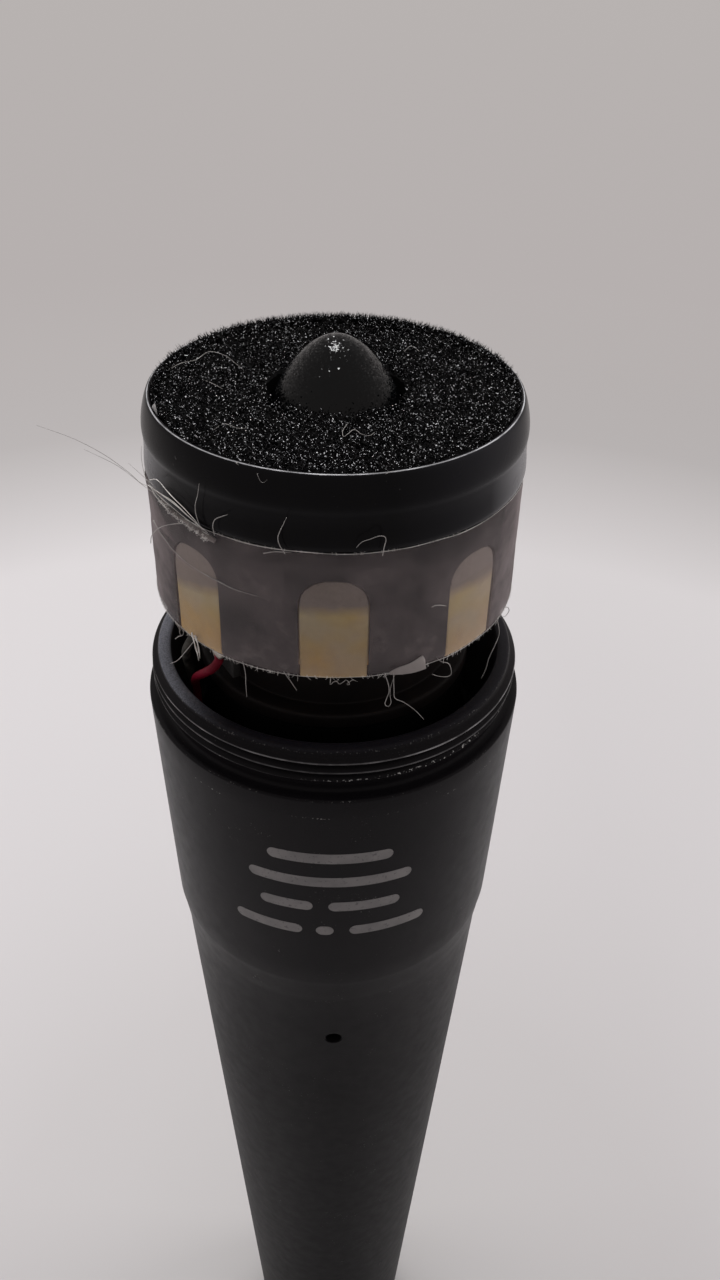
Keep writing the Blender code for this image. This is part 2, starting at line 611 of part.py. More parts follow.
def magnet_system(steel, magnet_material):
    """Yoke cup, magnet and pole piece, with the coil's ring gap between pole and yoke."""
    floor = YOKE_FOOT + YOKE_FLOOR
    turned("yoke", [
        (YOKE_RADIUS, YOKE_FOOT),
        (YOKE_RADIUS, YOKE_TOP),
        (YOKE_BORE_RADIUS, YOKE_TOP),
        (YOKE_BORE_RADIUS, floor),
        (YOKE_VENT_RADIUS, floor),
        (YOKE_VENT_RADIUS, YOKE_FOOT),
    ], steel, steps=INNER_TURN_STEPS)
    magnet_top = POLE_FOOT - SEAT_GAP
    turned("magnet", [
        (POLE_RADIUS, MAGNET_FOOT),
        (POLE_RADIUS, magnet_top),
        (YOKE_VENT_RADIUS, magnet_top),
        (YOKE_VENT_RADIUS, MAGNET_FOOT),
    ], magnet_material, steps=INNER_TURN_STEPS)
    turned("pole_piece", [
        (POLE_RADIUS, POLE_FOOT),
        (POLE_RADIUS, YOKE_TOP),
        (YOKE_VENT_RADIUS, YOKE_TOP),
        (YOKE_VENT_RADIUS, POLE_FOOT),
    ], steel, steps=INNER_TURN_STEPS)


def voice_coil(material):
    foot = YOKE_TOP - COIL_DEPTH
    top = FILM_FOOT - SEAT_GAP
    turned("voice_coil", [
        (COIL_OUTER_RADIUS, foot),
        (COIL_OUTER_RADIUS, top),
        (COIL_INNER_RADIUS, top),
        (COIL_INNER_RADIUS, foot),
    ], material, steps=INNER_TURN_STEPS)


def diaphragm(material):
    """A thin dome over the coil, a rolled surround and a flat rim on the housing's shelf."""
    roll_start = COIL_OUTER_RADIUS
    roll_width = SHELF_BORE_RADIUS - roll_start
    lower = []
    for step in range(FILM_DOME_STEPS):
        share = step / FILM_DOME_STEPS
        lower.append((roll_start * share, FILM_FOOT + FILM_DOME_RISE * (1 - share * share)))
    for step in range(FILM_ROLL_STEPS + 1):
        share = step / FILM_ROLL_STEPS
        lower.append((roll_start + roll_width * share, FILM_FOOT + FILM_ROLL_RISE * sin(pi * share)))
    lower.append((CAP_FILL_RADIUS, FILM_FOOT))
    upper = [(r, z + FILM_THICKNESS) for r, z in reversed(lower)]
    turned("diaphragm", lower + upper, material, steps=INNER_TURN_STEPS)


def clamp_ring(material):
    top = CLAMP_FOOT + CLAMP_RING_THICKNESS
    inner = CAP_FILL_RADIUS - CLAMP_RING_WIDTH
    turned("clamp_ring", [(CAP_FILL_RADIUS, CLAMP_FOOT), (CAP_FILL_RADIUS, top), (inner, top),
                          (inner, CLAMP_FOOT)], material, steps=INNER_TURN_STEPS)


def half_ellipse(radius, height, base):
    """Points from the rim at (radius, base) up to the axis."""
    points = []
    for step in range(DOME_STEPS + 1):
        angle = pi / 2 * step / DOME_STEPS
        points.append((radius * cos(angle) if step < DOME_STEPS else 0.0, base + height * sin(angle)))
    return points


def resonator_plate(material):
    """The front plate with its ring of holes and the hollow dome that stands through the foam."""
    inner = half_ellipse(DOME_RADIUS - RESONATOR_SHELL, DOME_HEIGHT - RESONATOR_SHELL, RESONATOR_TOP)
    plate = turned("resonator_plate", [
        (DOME_RADIUS - RESONATOR_SHELL, RESONATOR_FOOT),
        (CAP_FILL_RADIUS, RESONATOR_FOOT),
        (CAP_FILL_RADIUS, RESONATOR_TOP),
        *half_ellipse(DOME_RADIUS, DOME_HEIGHT, RESONATOR_TOP),
        *reversed(inner),
    ], material, steps=INNER_TURN_STEPS)
    holes = []
    for index in range(RESONATOR_HOLE_COUNT):
        azimuth = 360 * index / RESONATOR_HOLE_COUNT
        low = polar(RESONATOR_HOLE_CIRCLE, azimuth, RESONATOR_FOOT - OVERCUT / 2)
        high = polar(RESONATOR_HOLE_CIRCLE, azimuth, RESONATOR_TOP + OVERCUT / 2)
        holes.append(rod("resonator_hole_%d" % index, RESONATOR_HOLE_RADIUS, low, high, steps=8))
    cut(plate, join_cutters("resonator_cutter", holes))


def foam_disk(material):
    """The open-cell foam round the dome, flush with the cap ring's top."""
    turned("foam_disk", [
        (CAP_FILL_RADIUS, FOAM_FOOT),
        (CAP_FILL_RADIUS, CAP_TOP),
        (FOAM_HOLE_RADIUS, CAP_TOP),
        (FOAM_HOLE_RADIUS, FOAM_FOOT),
    ], material)


def cap_ring(material):
    """The glossy ring round the foam: flared foot, slight waist, rounded shoulder."""
    height = CAP_TOP - CAP_FOOT
    turned("cap_ring", filleted([
        (CAP_FOOT_RADIUS - SEAT_GAP, CAP_FOOT, 0.0),
        (CAP_FOOT_RADIUS, CAP_FOOT + SEAT_GAP, 0.0),
        (CAP_FOOT_RADIUS - CAP_WAIST_INSET, CAP_FOOT + height * CAP_WAIST_SHARE, 0.0),
        (CAP_FOOT_RADIUS - CAP_BELLY_INSET, CAP_FOOT + height * CAP_BELLY_SHARE, 0.0),
        (CAP_FOOT_RADIUS - CAP_SHOULDER_INSET, CAP_FOOT + height * CAP_SHOULDER_SHARE, 0.0),
        (CAP_FOOT_RADIUS - CAP_TOP_INSET, CAP_TOP, EDGE_EASE / 2),
        (CAP_BORE_RADIUS, CAP_TOP, 0.0),
        (CAP_BORE_RADIUS, CAP_FOOT, 0.0),
    ]), material)


def terminal_board(board_material, solder):
    """A small board under the chamber's flange, with one solder joint for each lead."""
    half = BOARD_WIDTH / 2
    top = CHAMBER_FLANGE_FOOT - SEAT_GAP
    foot = top - BOARD_HEIGHT
    board = prism("terminal_board", [(-half, foot), (half, foot), (half, top), (-half, top)],
                  BOARD_THICKNESS, board_material)
    board.location = polar(BOARD_RADIUS, BOARD_AZIMUTH)
    board.rotation_euler = (0.0, 0.0, radians(BOARD_AZIMUTH))
    for name, side in (("solder_joint_red", 1), ("solder_joint_white", -1)):
        build = bmesh.new()
        bmesh.ops.create_uvsphere(build, u_segments=10, v_segments=5, radius=JOINT_RADIUS)
        bmesh.ops.scale(build, verts=build.verts, vec=(1.0, JOINT_FLATTENING, 1.0))
        joint = finish(build, name, solder)
        reach = BOARD_RADIUS + SEAT_GAP + JOINT_RADIUS * JOINT_FLATTENING
        turn = Matrix.Rotation(radians(BOARD_AZIMUTH), 3, "Z")
        joint.location = turn @ Vector((side * JOINT_SPREAD, -reach, JOINT_HEIGHT))
        joint.rotation_euler = (0.0, 0.0, radians(BOARD_AZIMUTH))


def placed_route(upper, lower):
    knots = []
    for inset, azimuth, height in upper:
        radius = MOUTH_RADIUS - inset * ROUTE_UNIT_LENGTH
        knots.append(polar(radius, azimuth, RIM + height * ROUTE_UNIT_LENGTH))
    for offset, azimuth, height in lower:
        radius = PIN_CIRCLE_RADIUS + offset * ROUTE_UNIT_LENGTH
        knots.append(polar(radius, azimuth, INSERT_BACK + height * ROUTE_UNIT_LENGTH))
    return knots


def smooth_route(knots, step):
    """Even points along a centripetal spline through the route's own points."""
    ends = [knots[0] * 2 - knots[1]] + knots + [knots[-1] * 2 - knots[-2]]
    dense = []
    for a, b, c, d in zip(ends, ends[1:], ends[2:], ends[3:]):
        for index in range(ROUTE_SAMPLES):
            dense.append(spline_point(a, b, c, d, index / ROUTE_SAMPLES))
    dense.append(knots[-1])
    lengths = [0.0]
    for before, after in zip(dense, dense[1:]):
        lengths.append(lengths[-1] + (after - before).length)
    count = max(2, round(lengths[-1] / step))
    points = []
    place = 0
    for index in range(count + 1):
        target = lengths[-1] * index / count
        while place < len(dense) - 2 and lengths[place + 1] < target:
            place += 1
        share = (target - lengths[place]) / (lengths[place + 1] - lengths[place])
        points.append(dense[place].lerp(dense[place + 1], min(share, 1.0)))
    return points


def spline_point(a, b, c, d, share):
    """A point between b and c on a centripetal Catmull-Rom spline."""
    t0 = 0.0
    t1 = t0 + sqrt((b - a).length)
    t2 = t1 + sqrt((c - b).length)
    t3 = t2 + sqrt((d - c).length)
    t = t1 + (t2 - t1) * share
    ab = a * ((t1 - t) / (t1 - t0)) + b * ((t - t0) / (t1 - t0))
    bc = b * ((t2 - t) / (t2 - t1)) + c * ((t - t1) / (t2 - t1))
    cd = c * ((t3 - t) / (t3 - t2)) + d * ((t - t2) / (t3 - t2))
    abc = ab * ((t2 - t) / (t2 - t0)) + bc * ((t - t0) / (t2 - t0))
    bcd = bc * ((t3 - t) / (t3 - t1)) + cd * ((t - t1) / (t3 - t1))
    return abc * ((t2 - t) / (t2 - t1)) + bcd * ((t - t1) / (t2 - t1))


def lead(name, knots, material):
    """An insulated lead from a solder joint, through the mount's notch, into its solder cup."""
    curve = bpy.data.curves.new(name, "CURVE")
    curve.dimensions = "3D"
    curve.bevel_depth = LEAD_RADIUS
    curve.bevel_resolution = 2
    curve.use_fill_caps = True
    points = smooth_route(knots, LEAD_STEP)
    spline = curve.splines.new("POLY")
    spline.points.add(len(points) - 1)
    for spline_vertex, point in zip(spline.points, points):
        spline_vertex.co = (*point, 1.0)
    curve.materials.append(material)
    obj = bpy.data.objects.new(name, curve)
    bpy.context.scene.collection.objects.link(obj)


def build_handle():
    black_paint = make_material("handle_shell", (0.022, 0.023, 0.027), 0.55)
    nickel = make_material("xlr_pins", (0.72, 0.70, 0.66), 0.25, 1.0)
    handle_shell(black_paint)
    xlr_insert(make_material("xlr_insert", (0.02, 0.02, 0.02), 0.45))
    xlr_pins(nickel)
    ground_ring(make_material("ground_ring", (0.75, 0.60, 0.32), 0.35, 1.0))
    set_screw(make_material("xlr_set_screw", (0.12, 0.12, 0.12), 0.4, 1.0))
    shock_mount(make_material("shock_mount", (0.012, 0.012, 0.013), 0.8))


def build_capsule():
    black_plastic = make_material("cartridge_housing", (0.015, 0.015, 0.017), 0.4)
    steel = make_material("magnet_steel", (0.55, 0.55, 0.56), 0.35, 1.0)
    rear_chamber(make_material("rear_chamber", (0.014, 0.014, 0.015), 0.5))
    cartridge_housing(black_plastic)
    screen_tape(make_material("screen_tape", (0.20, 0.19, 0.20), 0.9))
    transducer_frame(make_material("transducer_frame", (0.55, 0.45, 0.25), 0.6))
    felt_ring(make_material("felt_ring", (0.30, 0.27, 0.30), 0.95))
    magnet_system(steel, make_material("magnet", (0.35, 0.35, 0.37), 0.4, 1.0))
    voice_coil(make_material("voice_coil", (0.60, 0.28, 0.12), 0.35, 1.0))
    diaphragm(make_material("diaphragm", (0.70, 0.72, 0.75), 0.3))
    clamp_ring(make_material("clamp_ring", (0.10, 0.10, 0.10), 0.6))
    resonator_plate(make_material("resonator_plate", (0.02, 0.022, 0.024), 0.45))
    foam_disk(make_material("foam_disk", (0.012, 0.012, 0.012), 0.95))
    cap_ring(make_material("cap_ring", (0.01, 0.01, 0.011), 0.2))


def build_leads():
    board = make_material("terminal_board", (0.30, 0.20, 0.10), 0.7)
    terminal_board(board, make_material("solder", (0.62, 0.62, 0.64), 0.35, 1.0))
    red = make_material("lead_red", (0.45, 0.02, 0.03), 0.5)
    white = make_material("lead_white", (0.62, 0.60, 0.60), 0.5)
    lead("lead_red", placed_route(RED_UPPER, RED_LOWER), red)
    lead("lead_white", placed_route(WHITE_UPPER, WHITE_LOWER), white)


clear_scene()
build_handle()
build_capsule()
build_leads()
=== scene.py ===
import math
import random

import bmesh
import bpy
import numpy as np
from mathutils import Matrix, Vector, noise
from mathutils.geometry import delaunay_2d_cdt


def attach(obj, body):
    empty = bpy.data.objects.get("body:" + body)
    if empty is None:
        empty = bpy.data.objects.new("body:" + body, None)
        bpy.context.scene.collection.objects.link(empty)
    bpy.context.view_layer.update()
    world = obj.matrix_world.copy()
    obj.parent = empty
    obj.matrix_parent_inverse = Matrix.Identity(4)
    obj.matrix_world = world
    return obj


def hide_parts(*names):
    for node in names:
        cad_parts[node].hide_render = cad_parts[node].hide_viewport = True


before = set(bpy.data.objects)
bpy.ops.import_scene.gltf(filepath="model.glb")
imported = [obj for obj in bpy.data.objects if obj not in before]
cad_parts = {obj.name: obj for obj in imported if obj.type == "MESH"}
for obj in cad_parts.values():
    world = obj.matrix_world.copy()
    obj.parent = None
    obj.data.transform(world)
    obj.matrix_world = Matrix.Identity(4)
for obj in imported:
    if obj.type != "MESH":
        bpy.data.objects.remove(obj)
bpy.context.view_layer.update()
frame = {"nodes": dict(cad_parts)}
MM = 0.001

# Sizes in millimetres and turns in degrees, as in the CAD. A turn runs from the front towards +X.
# Pairs are given from the foot up, or from the inside out
BARREL_TOP = 114.0
COLLAR_FOOT = 118.5
SHOULDER = 146.08
RIM = 150.98
END_R = 11.43
BARREL_R = 17.20
COLLAR_R = (17.80, 18.58)
NECK_R = 17.3
THREAD_R = (17.42, 18.0)
THREAD_Z = (147.2, 150.5)
THREAD_PITCH = 1.06
THREAD_PHASE = 147.35
SIDE_HOLE_R = 0.9
SIDE_HOLE_TURN = 2.5
SIDE_HOLE_Z = 106.8
SCREW_R = 1.8
SCREW_TURN = 180
SCREW_Z = 20.5
PINS = {"xlr_pin_1": 135.0, "xlr_pin_2": 0.0, "xlr_pin_3": -112.5}
PIN_CIRCLE = 4.9
PIN_R = 1.2
INSERT = (16.5, 24.5)
BOARD_TURN = -57.5
WIRE_R = 0.42
SCREEN = (158.68, 170.48)
SCREEN_R = (16.71, 16.57)
SCREEN_START = 168.0
SCREEN_SWEEP = 385.0
PORTS = 8
PORT_PITCH = 45
PORT_TURN = 1.5
PORT_HALF = 2.9
ARCH_Z = 165.3
ARCH_RISE = 2.78
ARCH_POWER = 2.4
CUP_R = 15.27
FELT = (165.703, 169.38)
PLATE = (173.83, 174.93)
DOME_R = 5.9
DOME_RISE = 6.5
FOAM_Z = 177.22
FOAM_R = 15.46
FOAM_WALL_R = (6.2, 15.2)
LOOSE_TOP = 170.7

# The camera, fitted to the photo
LENS = 30.01
SENSOR = 36.0
CAMERA_PLACE = (2.55, -84.9, 214.5)
CAMERA_DOWN = 37.226
CAMERA_ROLL = 1.474

FOAM_SEED = 7
FIBRE_SEED = 11
BRISTLES = 1500
CURLS = 90
FOOT_FIBRES = 420
TOP_FIBRES = 220


def polar(radius, azimuth, height=0.0):
    """The point at a distance from the axis, a turn from the front towards +X and a height."""
    a = math.radians(azimuth)
    return Vector((radius * math.sin(a), -radius * math.cos(a), height))


def smoothstep(low, high, x):
    t = min(max((x - low) / (high - low), 0.0), 1.0)
    return t * t * (3 - 2 * t)


def linear(*rgb):
    """A colour written as it looks on the screen, 0 to 255, as the renderer's own numbers."""
    out = []
    for c in rgb:
        c /= 255.0
        out.append(c / 12.92 if c <= 0.04045 else ((c + 0.055) / 1.055) ** 2.4)
    return tuple(out)


# Camera and light

def build_camera():
    data = bpy.data.cameras.new("camera")
    data.sensor_width = SENSOR
    data.lens = LENS
    data.clip_start = 0.005
    data.clip_end = 50.0
    camera = bpy.data.objects.new("camera", data)
    bpy.context.scene.collection.objects.link(camera)
    tilt = Matrix.Rotation(math.radians(90 - CAMERA_DOWN), 4, "X")
    roll = Matrix.Rotation(math.radians(CAMERA_ROLL), 4, "Z")
    camera.matrix_world = Matrix.Translation(Vector(CAMERA_PLACE) * MM) @ tilt @ roll
    bpy.context.scene.camera = camera
    bpy.context.scene.view_settings.view_transform = "Standard"


def lamp(name, place, aim, size, watts, glossy=True):
    """A flat lamp aimed at a point, all in millimetres. glossy lets it show in reflections."""
    data = bpy.data.lights.new(name, "AREA")
    data.shape = "RECTANGLE"
    data.size, data.size_y = size[0] * MM, size[1] * MM
    data.energy = watts
    light = bpy.data.objects.new(name, data)
    bpy.context.scene.collection.objects.link(light)
    light.location = Vector(place) * MM
    light.visible_glossy = glossy
    light.rotation_euler = ((Vector(aim) - Vector(place)) * MM).to_track_quat("-Z", "Y").to_euler()


def build_stage():
    world = bpy.data.worlds.new("studio")
    bpy.context.scene.world = world
    world.use_nodes = True
    n = Nodes(world.node_tree, "Generated")
    x, y, _ = n.split()
    level = n.remap(n.math("MULTIPLY_ADD", x, 0.1, y), -0.7, 0.9, 0.27, 0.68)
    light = n.node("ShaderNodeBackground", {"Color": (0.95, 0.96, 1.0), "Strength": level})
    backdrop = n.node("ShaderNodeBackground", {"Color": linear(184, 179, 177), "Strength": 1.0})
    out = n.node("ShaderNodeOutputWorld")
    n.feed(out.inputs[0], n.blend(n.seen(), light.outputs[0], backdrop.outputs[0]))

    rings = [40, 90, 160, 260, 420, 700, 1200, 2200, 4000, 8000]
    build = Mesh()
    turn = 96
    for r in rings:
        build.verts += [polar(r, 360 * i / turn) for i in range(turn)]
    build.grid(0, len(rings), turn, flip=True)
    middle = len(build.verts)
    build.verts.append(Vector((0, 0, 0)))
    build.faces += [(i, (i + 1) % turn, middle) for i in range(turn)]
    floor = build.make("floor", floor_material())

    lamp("key", (150, 420, 750), (0, 0, 150), (520, 420), 0.7, glossy=False)
    lamp("left", (-620, 60, 330), (0, 0, 120), (240, 620), 1.0, glossy=False)
    lamp("right", (640, 120, 300), (0, 0, 120), (240, 620), 1.65, glossy=False)
    lamp("top", (-30, 150, 800), (0, 0, 170), (180, 150), 2.8)


# Meshes

class Mesh:
    """Vertices in millimetres and faces, gathered before they become one object."""

    def __init__(self):
        self.verts = []
        self.faces = []

    def grid(self, start, rows, columns, around=True, wrap=False, flip=False):
        """Faces between rows of points that follow one another from the point start.

        around closes each row, wrap joins the last row to the first, and flip turns the faces over.
        """
        for i in range(rows if wrap else rows - 1):
            one, two = start + i * columns, start + (i + 1) % rows * columns
            for k in range(columns if around else columns - 1):
                j = (k + 1) % columns
                face = (one + k, one + j, two + j, two + k)
                self.faces.append((face[0], face[3], face[2], face[1]) if flip else face)

    def tube(self, points, radius, sides=5, end=None, flat=1.0, turns=0.0, start=None):
        """A swept tube whose radius runs from start over radius in the middle to end."""
        points = [Vector(p) for p in points]
        count = len(points)
        tangents = []
        for i in range(count):
            tangents.append((points[min(i + 1, count - 1)] - points[max(i - 1, 0)]).normalized())
        side = tangents[0].orthogonal().normalized()
        base = len(self.verts)
        for i, (p, t) in enumerate(zip(points, tangents)):
            side = (side - t * side.dot(t)).normalized()
            up = t.cross(side)
            share = i / max(count - 1, 1)
            r = radius
            if end is not None and share > 0.5:
                r = radius + (end - radius) * (share - 0.5) * 2
            if start is not None and share < 0.5:
                r = start + (radius - start) * share * 2
            twist = turns * 2 * math.pi * share
            for k in range(sides):
                a = 2 * math.pi * k / sides
                x, y = math.cos(a) * r, math.sin(a) * r * flat
                x, y = x * math.cos(twist) - y * math.sin(twist), x * math.sin(twist) + y * math.cos(twist)
                self.verts.append(p + side * x + up * y)
        self.grid(base, count, sides)
        self.faces.append(tuple(reversed(range(base, base + sides))))
        self.faces.append(tuple(range(base + (count - 1) * sides, base + count * sides)))

    def make(self, name, materials, angle=None, recalc=False):
        mesh = bpy.data.meshes.new(name)
        coords = np.array([tuple(v) for v in self.verts], dtype=np.float64) * MM
        mesh.from_pydata(coords.tolist(), [], self.faces)
        if recalc:
            face_outwards(mesh)
        for material in materials if isinstance(materials, (list, tuple)) else [materials]:
            mesh.materials.append(material)
        mesh.shade_smooth()
        if angle is not None:
            mesh.set_sharp_from_angle(angle=math.radians(angle))
        mesh.update()
        obj = bpy.data.objects.new(name, mesh)
        bpy.context.scene.collection.objects.link(obj)
        return obj


def smooth(mesh, angle):
    """Smooth shading, with edges sharper than the angle left sharp."""
    mesh.shade_smooth()
    mesh.set_sharp_from_angle(angle=math.radians(angle))


def apply_modifiers(obj):
    graph = bpy.context.evaluated_depsgraph_get()
    mesh = bpy.data.meshes.new_from_object(obj.evaluated_get(graph))
    obj.modifiers.clear()
    obj.data = mesh


def face_outwards(mesh, weld=False):
    """Turns all faces outwards, after joining points that lie on one another where weld is set."""
    build = bmesh.new()
    build.from_mesh(mesh)
    if weld:
        bmesh.ops.remove_doubles(build, verts=build.verts, dist=1e-7)
    bmesh.ops.recalc_face_normals(build, faces=build.faces)
    build.to_mesh(mesh)
    build.free()


def piece(obj, slot, *nodes):
    """Ties an object to the body and hides the solids that it stands for. slot is not used."""
    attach(obj, "root")
    if nodes:
        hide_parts(*nodes)
    return obj


def rounded(corners, steps=4):
    """Corners (radius, height, fillet) with their fillets as arcs."""
    out = []
    count = len(corners)
    for i, (x, y, fillet) in enumerate(corners):
        here = Vector((x, y))
        if fillet <= 0:
            out.append((x, y))
            continue
        before = Vector(corners[i - 1][:2]) - here
        after = Vector(corners[(i + 1) % count][:2]) - here
        reach = min(fillet, before.length * 0.49, after.length * 0.49)
        a, b = here + before.normalized() * reach, here + after.normalized() * reach
        for k in range(steps + 1):
            t = k / steps
            p = a * (1 - t) ** 2 + here * 2 * t * (1 - t) + b * t * t
            out.append((p.x, p.y))
    return out


def lathe(name, outline, material, steps=128, angle=32, shape=None, cut=None):
    """A closed outline turned about the axis. shape(radius, height, azimuth) may move a point."""
    build = Mesh()
    rings = []
    for r, z in outline:
        if r < 1e-6:
            rings.append([len(build.verts)])
            build.verts.append(Vector((0, 0, z)))
        else:
            start = len(build.verts)
            for i in range(steps):
                azimuth = 360 * i / steps
                radius, height = shape(r, z, azimuth) if shape else (r, z)
                build.verts.append(polar(radius, azimuth, height))
            rings.append(list(range(start, start + steps)))
    for one, two in zip(rings, rings[1:] + rings[:1]):
        if len(one) == 1 and len(two) == 1:
            continue
        for i in range(steps):
            j = (i + 1) % steps
            if len(one) == 1:
                build.faces.append((one[0], two[j], two[i]))
            elif len(two) == 1:
                build.faces.append((one[i], one[j], two[0]))
            else:
                build.faces.append((one[i], one[j], two[j], two[i]))
    obj = build.make(name, material, None if cut else angle, recalc=True)
    if cut:
        difference(obj, cut)
        smooth(obj.data, angle)
    return obj


def difference(obj, cutters):
    """Cuts the cutters out of the object and removes them."""
    for cutter in cutters:
        modifier = obj.modifiers.new("cut", "BOOLEAN")
        modifier.operation = "DIFFERENCE"
        modifier.solver = "EXACT"
        modifier.object = cutter
    apply_modifiers(obj)
    for cutter in cutters:
        bpy.data.objects.remove(cutter)


def drill(radius, start, end, steps=32):
    """A round cutter between two points."""
    build = Mesh()
    build.tube([start, end], radius, sides=steps)
    return build.make("drill", [], recalc=True)


def ring_hole(radius, circle, azimuth, low, high):
    """An upright drill on a circle round the axis."""
    return drill(radius, polar(circle, azimuth, low), polar(circle, azimuth, high))


def side_hole(radius, azimuth, height, near, far, steps=32):
    """A level drill that runs outwards between two distances from the axis."""
    return drill(radius, polar(near, azimuth, height), polar(far, azimuth, height), steps)


def prism(outline, near, far, azimuth):
    """A solid of an outline (across, height) that runs outwards between two distances."""
    build = Mesh()
    turn = Matrix.Rotation(math.radians(azimuth), 3, "Z")
    count = len(outline)
    build.verts = [turn @ Vector((x, -d, z)) for d in (near, far) for x, z in outline]
    build.faces = [tuple(range(count)), tuple(reversed(range(count, 2 * count)))]
    build.grid(0, 2, count)
    return build.make("prism", [], recalc=True)


def spline(knots, step):
    """Even points along a centripetal spline through the knots."""
    knots = [Vector(k) for k in knots]
    ends = [knots[0] * 2 - knots[1]] + knots + [knots[-1] * 2 - knots[-2]]
    dense = []
    for a, b, c, d in zip(ends, ends[1:], ends[2:], ends[3:]):
        t1 = math.sqrt(max((b - a).length, 1e-6))
        t2 = t1 + math.sqrt(max((c - b).length, 1e-6))
        t3 = t2 + math.sqrt(max((d - c).length, 1e-6))
        for k in range(16):
            t = t1 + (t2 - t1) * k / 16
            ab = a * ((t1 - t) / t1) + b * (t / t1)
            bc = b * ((t2 - t) / (t2 - t1)) + c * ((t - t1) / (t2 - t1))
            cd = c * ((t3 - t) / (t3 - t2)) + d * ((t - t2) / (t3 - t2))
            abc = ab * ((t2 - t) / t2) + bc * (t / t2)
            bcd = bc * ((t3 - t) / (t3 - t1)) + cd * ((t - t1) / (t3 - t1))
            dense.append(abc * ((t2 - t) / (t2 - t1)) + bcd * ((t - t1) / (t2 - t1)))
    dense.append(knots[-1])
    lengths = [0.0]
    for before, after in zip(dense, dense[1:]):
        lengths.append(lengths[-1] + (after - before).length)
    count = max(2, round(lengths[-1] / step))
    points = []
    place = 0
    for i in range(count + 1):
        target = lengths[-1] * i / count
        while place < len(dense) - 2 and lengths[place + 1] < target:
            place += 1
        span = max(lengths[place + 1] - lengths[place], 1e-9)
        points.append(dense[place].lerp(dense[place + 1], min((target - lengths[place]) / span, 1.0)))
    return points


# Materials

class Nodes:
    """A node tree, with one call for each kind of node that it needs."""

    def __init__(self, tree, coordinates="Object"):
        self.tree = tree
        tree.nodes.clear()
        self.place = self.node("ShaderNodeTexCoord").outputs[coordinates]

    def feed(self, socket, value):
        if isinstance(value, bpy.types.NodeSocket):
            self.tree.links.new(value, socket)
        elif isinstance(value, tuple) and socket.type == "RGBA":
            socket.default_value = (*value, 1.0)
        else:
            socket.default_value = value

    def node(self, kind, inputs=(), **settings):
        node = self.tree.nodes.new(kind)
        for key, value in settings.items():
            setattr(node, key, value)
        for key, value in dict(inputs).items():
            self.feed(node.inputs[key], value)
        return node

    def noise(self, scale, detail=2.0, rough=0.5, place=None, distortion=0.0):
        return self.node("ShaderNodeTexNoise", {
            "Vector": place or self.place, "Scale": scale, "Detail": detail, "Roughness": rough,
            "Distortion": distortion}).outputs["Fac"]

    def stretched(self, x, y, z):
        return self.node("ShaderNodeMapping", {"Vector": self.place, "Scale": (x, y, z)}).outputs[0]

    def remap(self, value, low, high, to_low=0.0, to_high=1.0):
        return self.node("ShaderNodeMapRange", {"Value": value, "From Min": low, "From Max": high,
                                                "To Min": to_low, "To Max": to_high}).outputs[0]

    def spread(self, noise, low=0.0, high=1.0):
        """A noise, whose values lie round 0.5, stretched to run from low to high."""
        return self.remap(noise, 0.3, 0.7, low, high)

    def math(self, operation, *values):
        return self.node("ShaderNodeMath", dict(enumerate(values)), operation=operation).outputs[0]

    def times(self, *values):
        return self.math("MULTIPLY", *values)

    def plus(self, *values):
        return self.math("ADD", *values)

    def most(self, *values):
        return self.math("MAXIMUM", *values)

    def vector(self, operation, *values):
        return self.node("ShaderNodeVectorMath", dict(enumerate(values)), operation=operation).outputs[0]

    def mix(self, share, one, two):
        """Mixed colours; one that is no socket is written as it looks on the screen."""
        one, two = (linear(*c) if isinstance(c, tuple) else c for c in (one, two))
        return self.node("ShaderNodeMix", {0: share, 6: one, 7: two}, data_type="RGBA").outputs[2]

    def tones(self, dark, light, scale, detail=2.0):
        """Two tones in clouds of one size."""
        return self.mix(self.spread(self.noise(scale, detail)), dark, light)

    def blend(self, share, one, two):
        return self.node("ShaderNodeMixShader", {0: share, 1: one, 2: two}).outputs[0]

    def seen(self):
        """1 on the rays that show the pale background: the camera's, glossy and see-through ones."""
        path = self.node("ShaderNodeLightPath").outputs
        return self.most(self.most(path["Is Camera Ray"], path["Is Glossy Ray"]), path["Is Transmission Ray"])

    def split(self):
        return self.node("ShaderNodeSeparateXYZ", {"Vector": self.place}).outputs

    def radius(self):
        """Distance from the axis."""
        x, y, _ = self.split()
        return self.math("SQRT", self.plus(self.times(x, x), self.times(y, y)))

    def turn(self):
        """Angle about the axis in radians, from the front towards +X."""
        x, y, _ = self.split()
        return self.math("ARCTAN2", x, self.times(y, -1.0))

    def band(self, value, centre, half, soft):
        """1 within half of the centre, falling to 0 over soft."""
        off = self.math("ABSOLUTE", self.math("SUBTRACT", value, centre))
        return self.remap(off, half + soft, half)

    def bump(self, height, distance, strength=1.0, under=None):
        node = self.node("ShaderNodeBump", {"Height": height, "Distance": distance, "Strength": strength})
        if under is not None:
            self.feed(node.inputs["Normal"], under)
        return node.outputs[0]


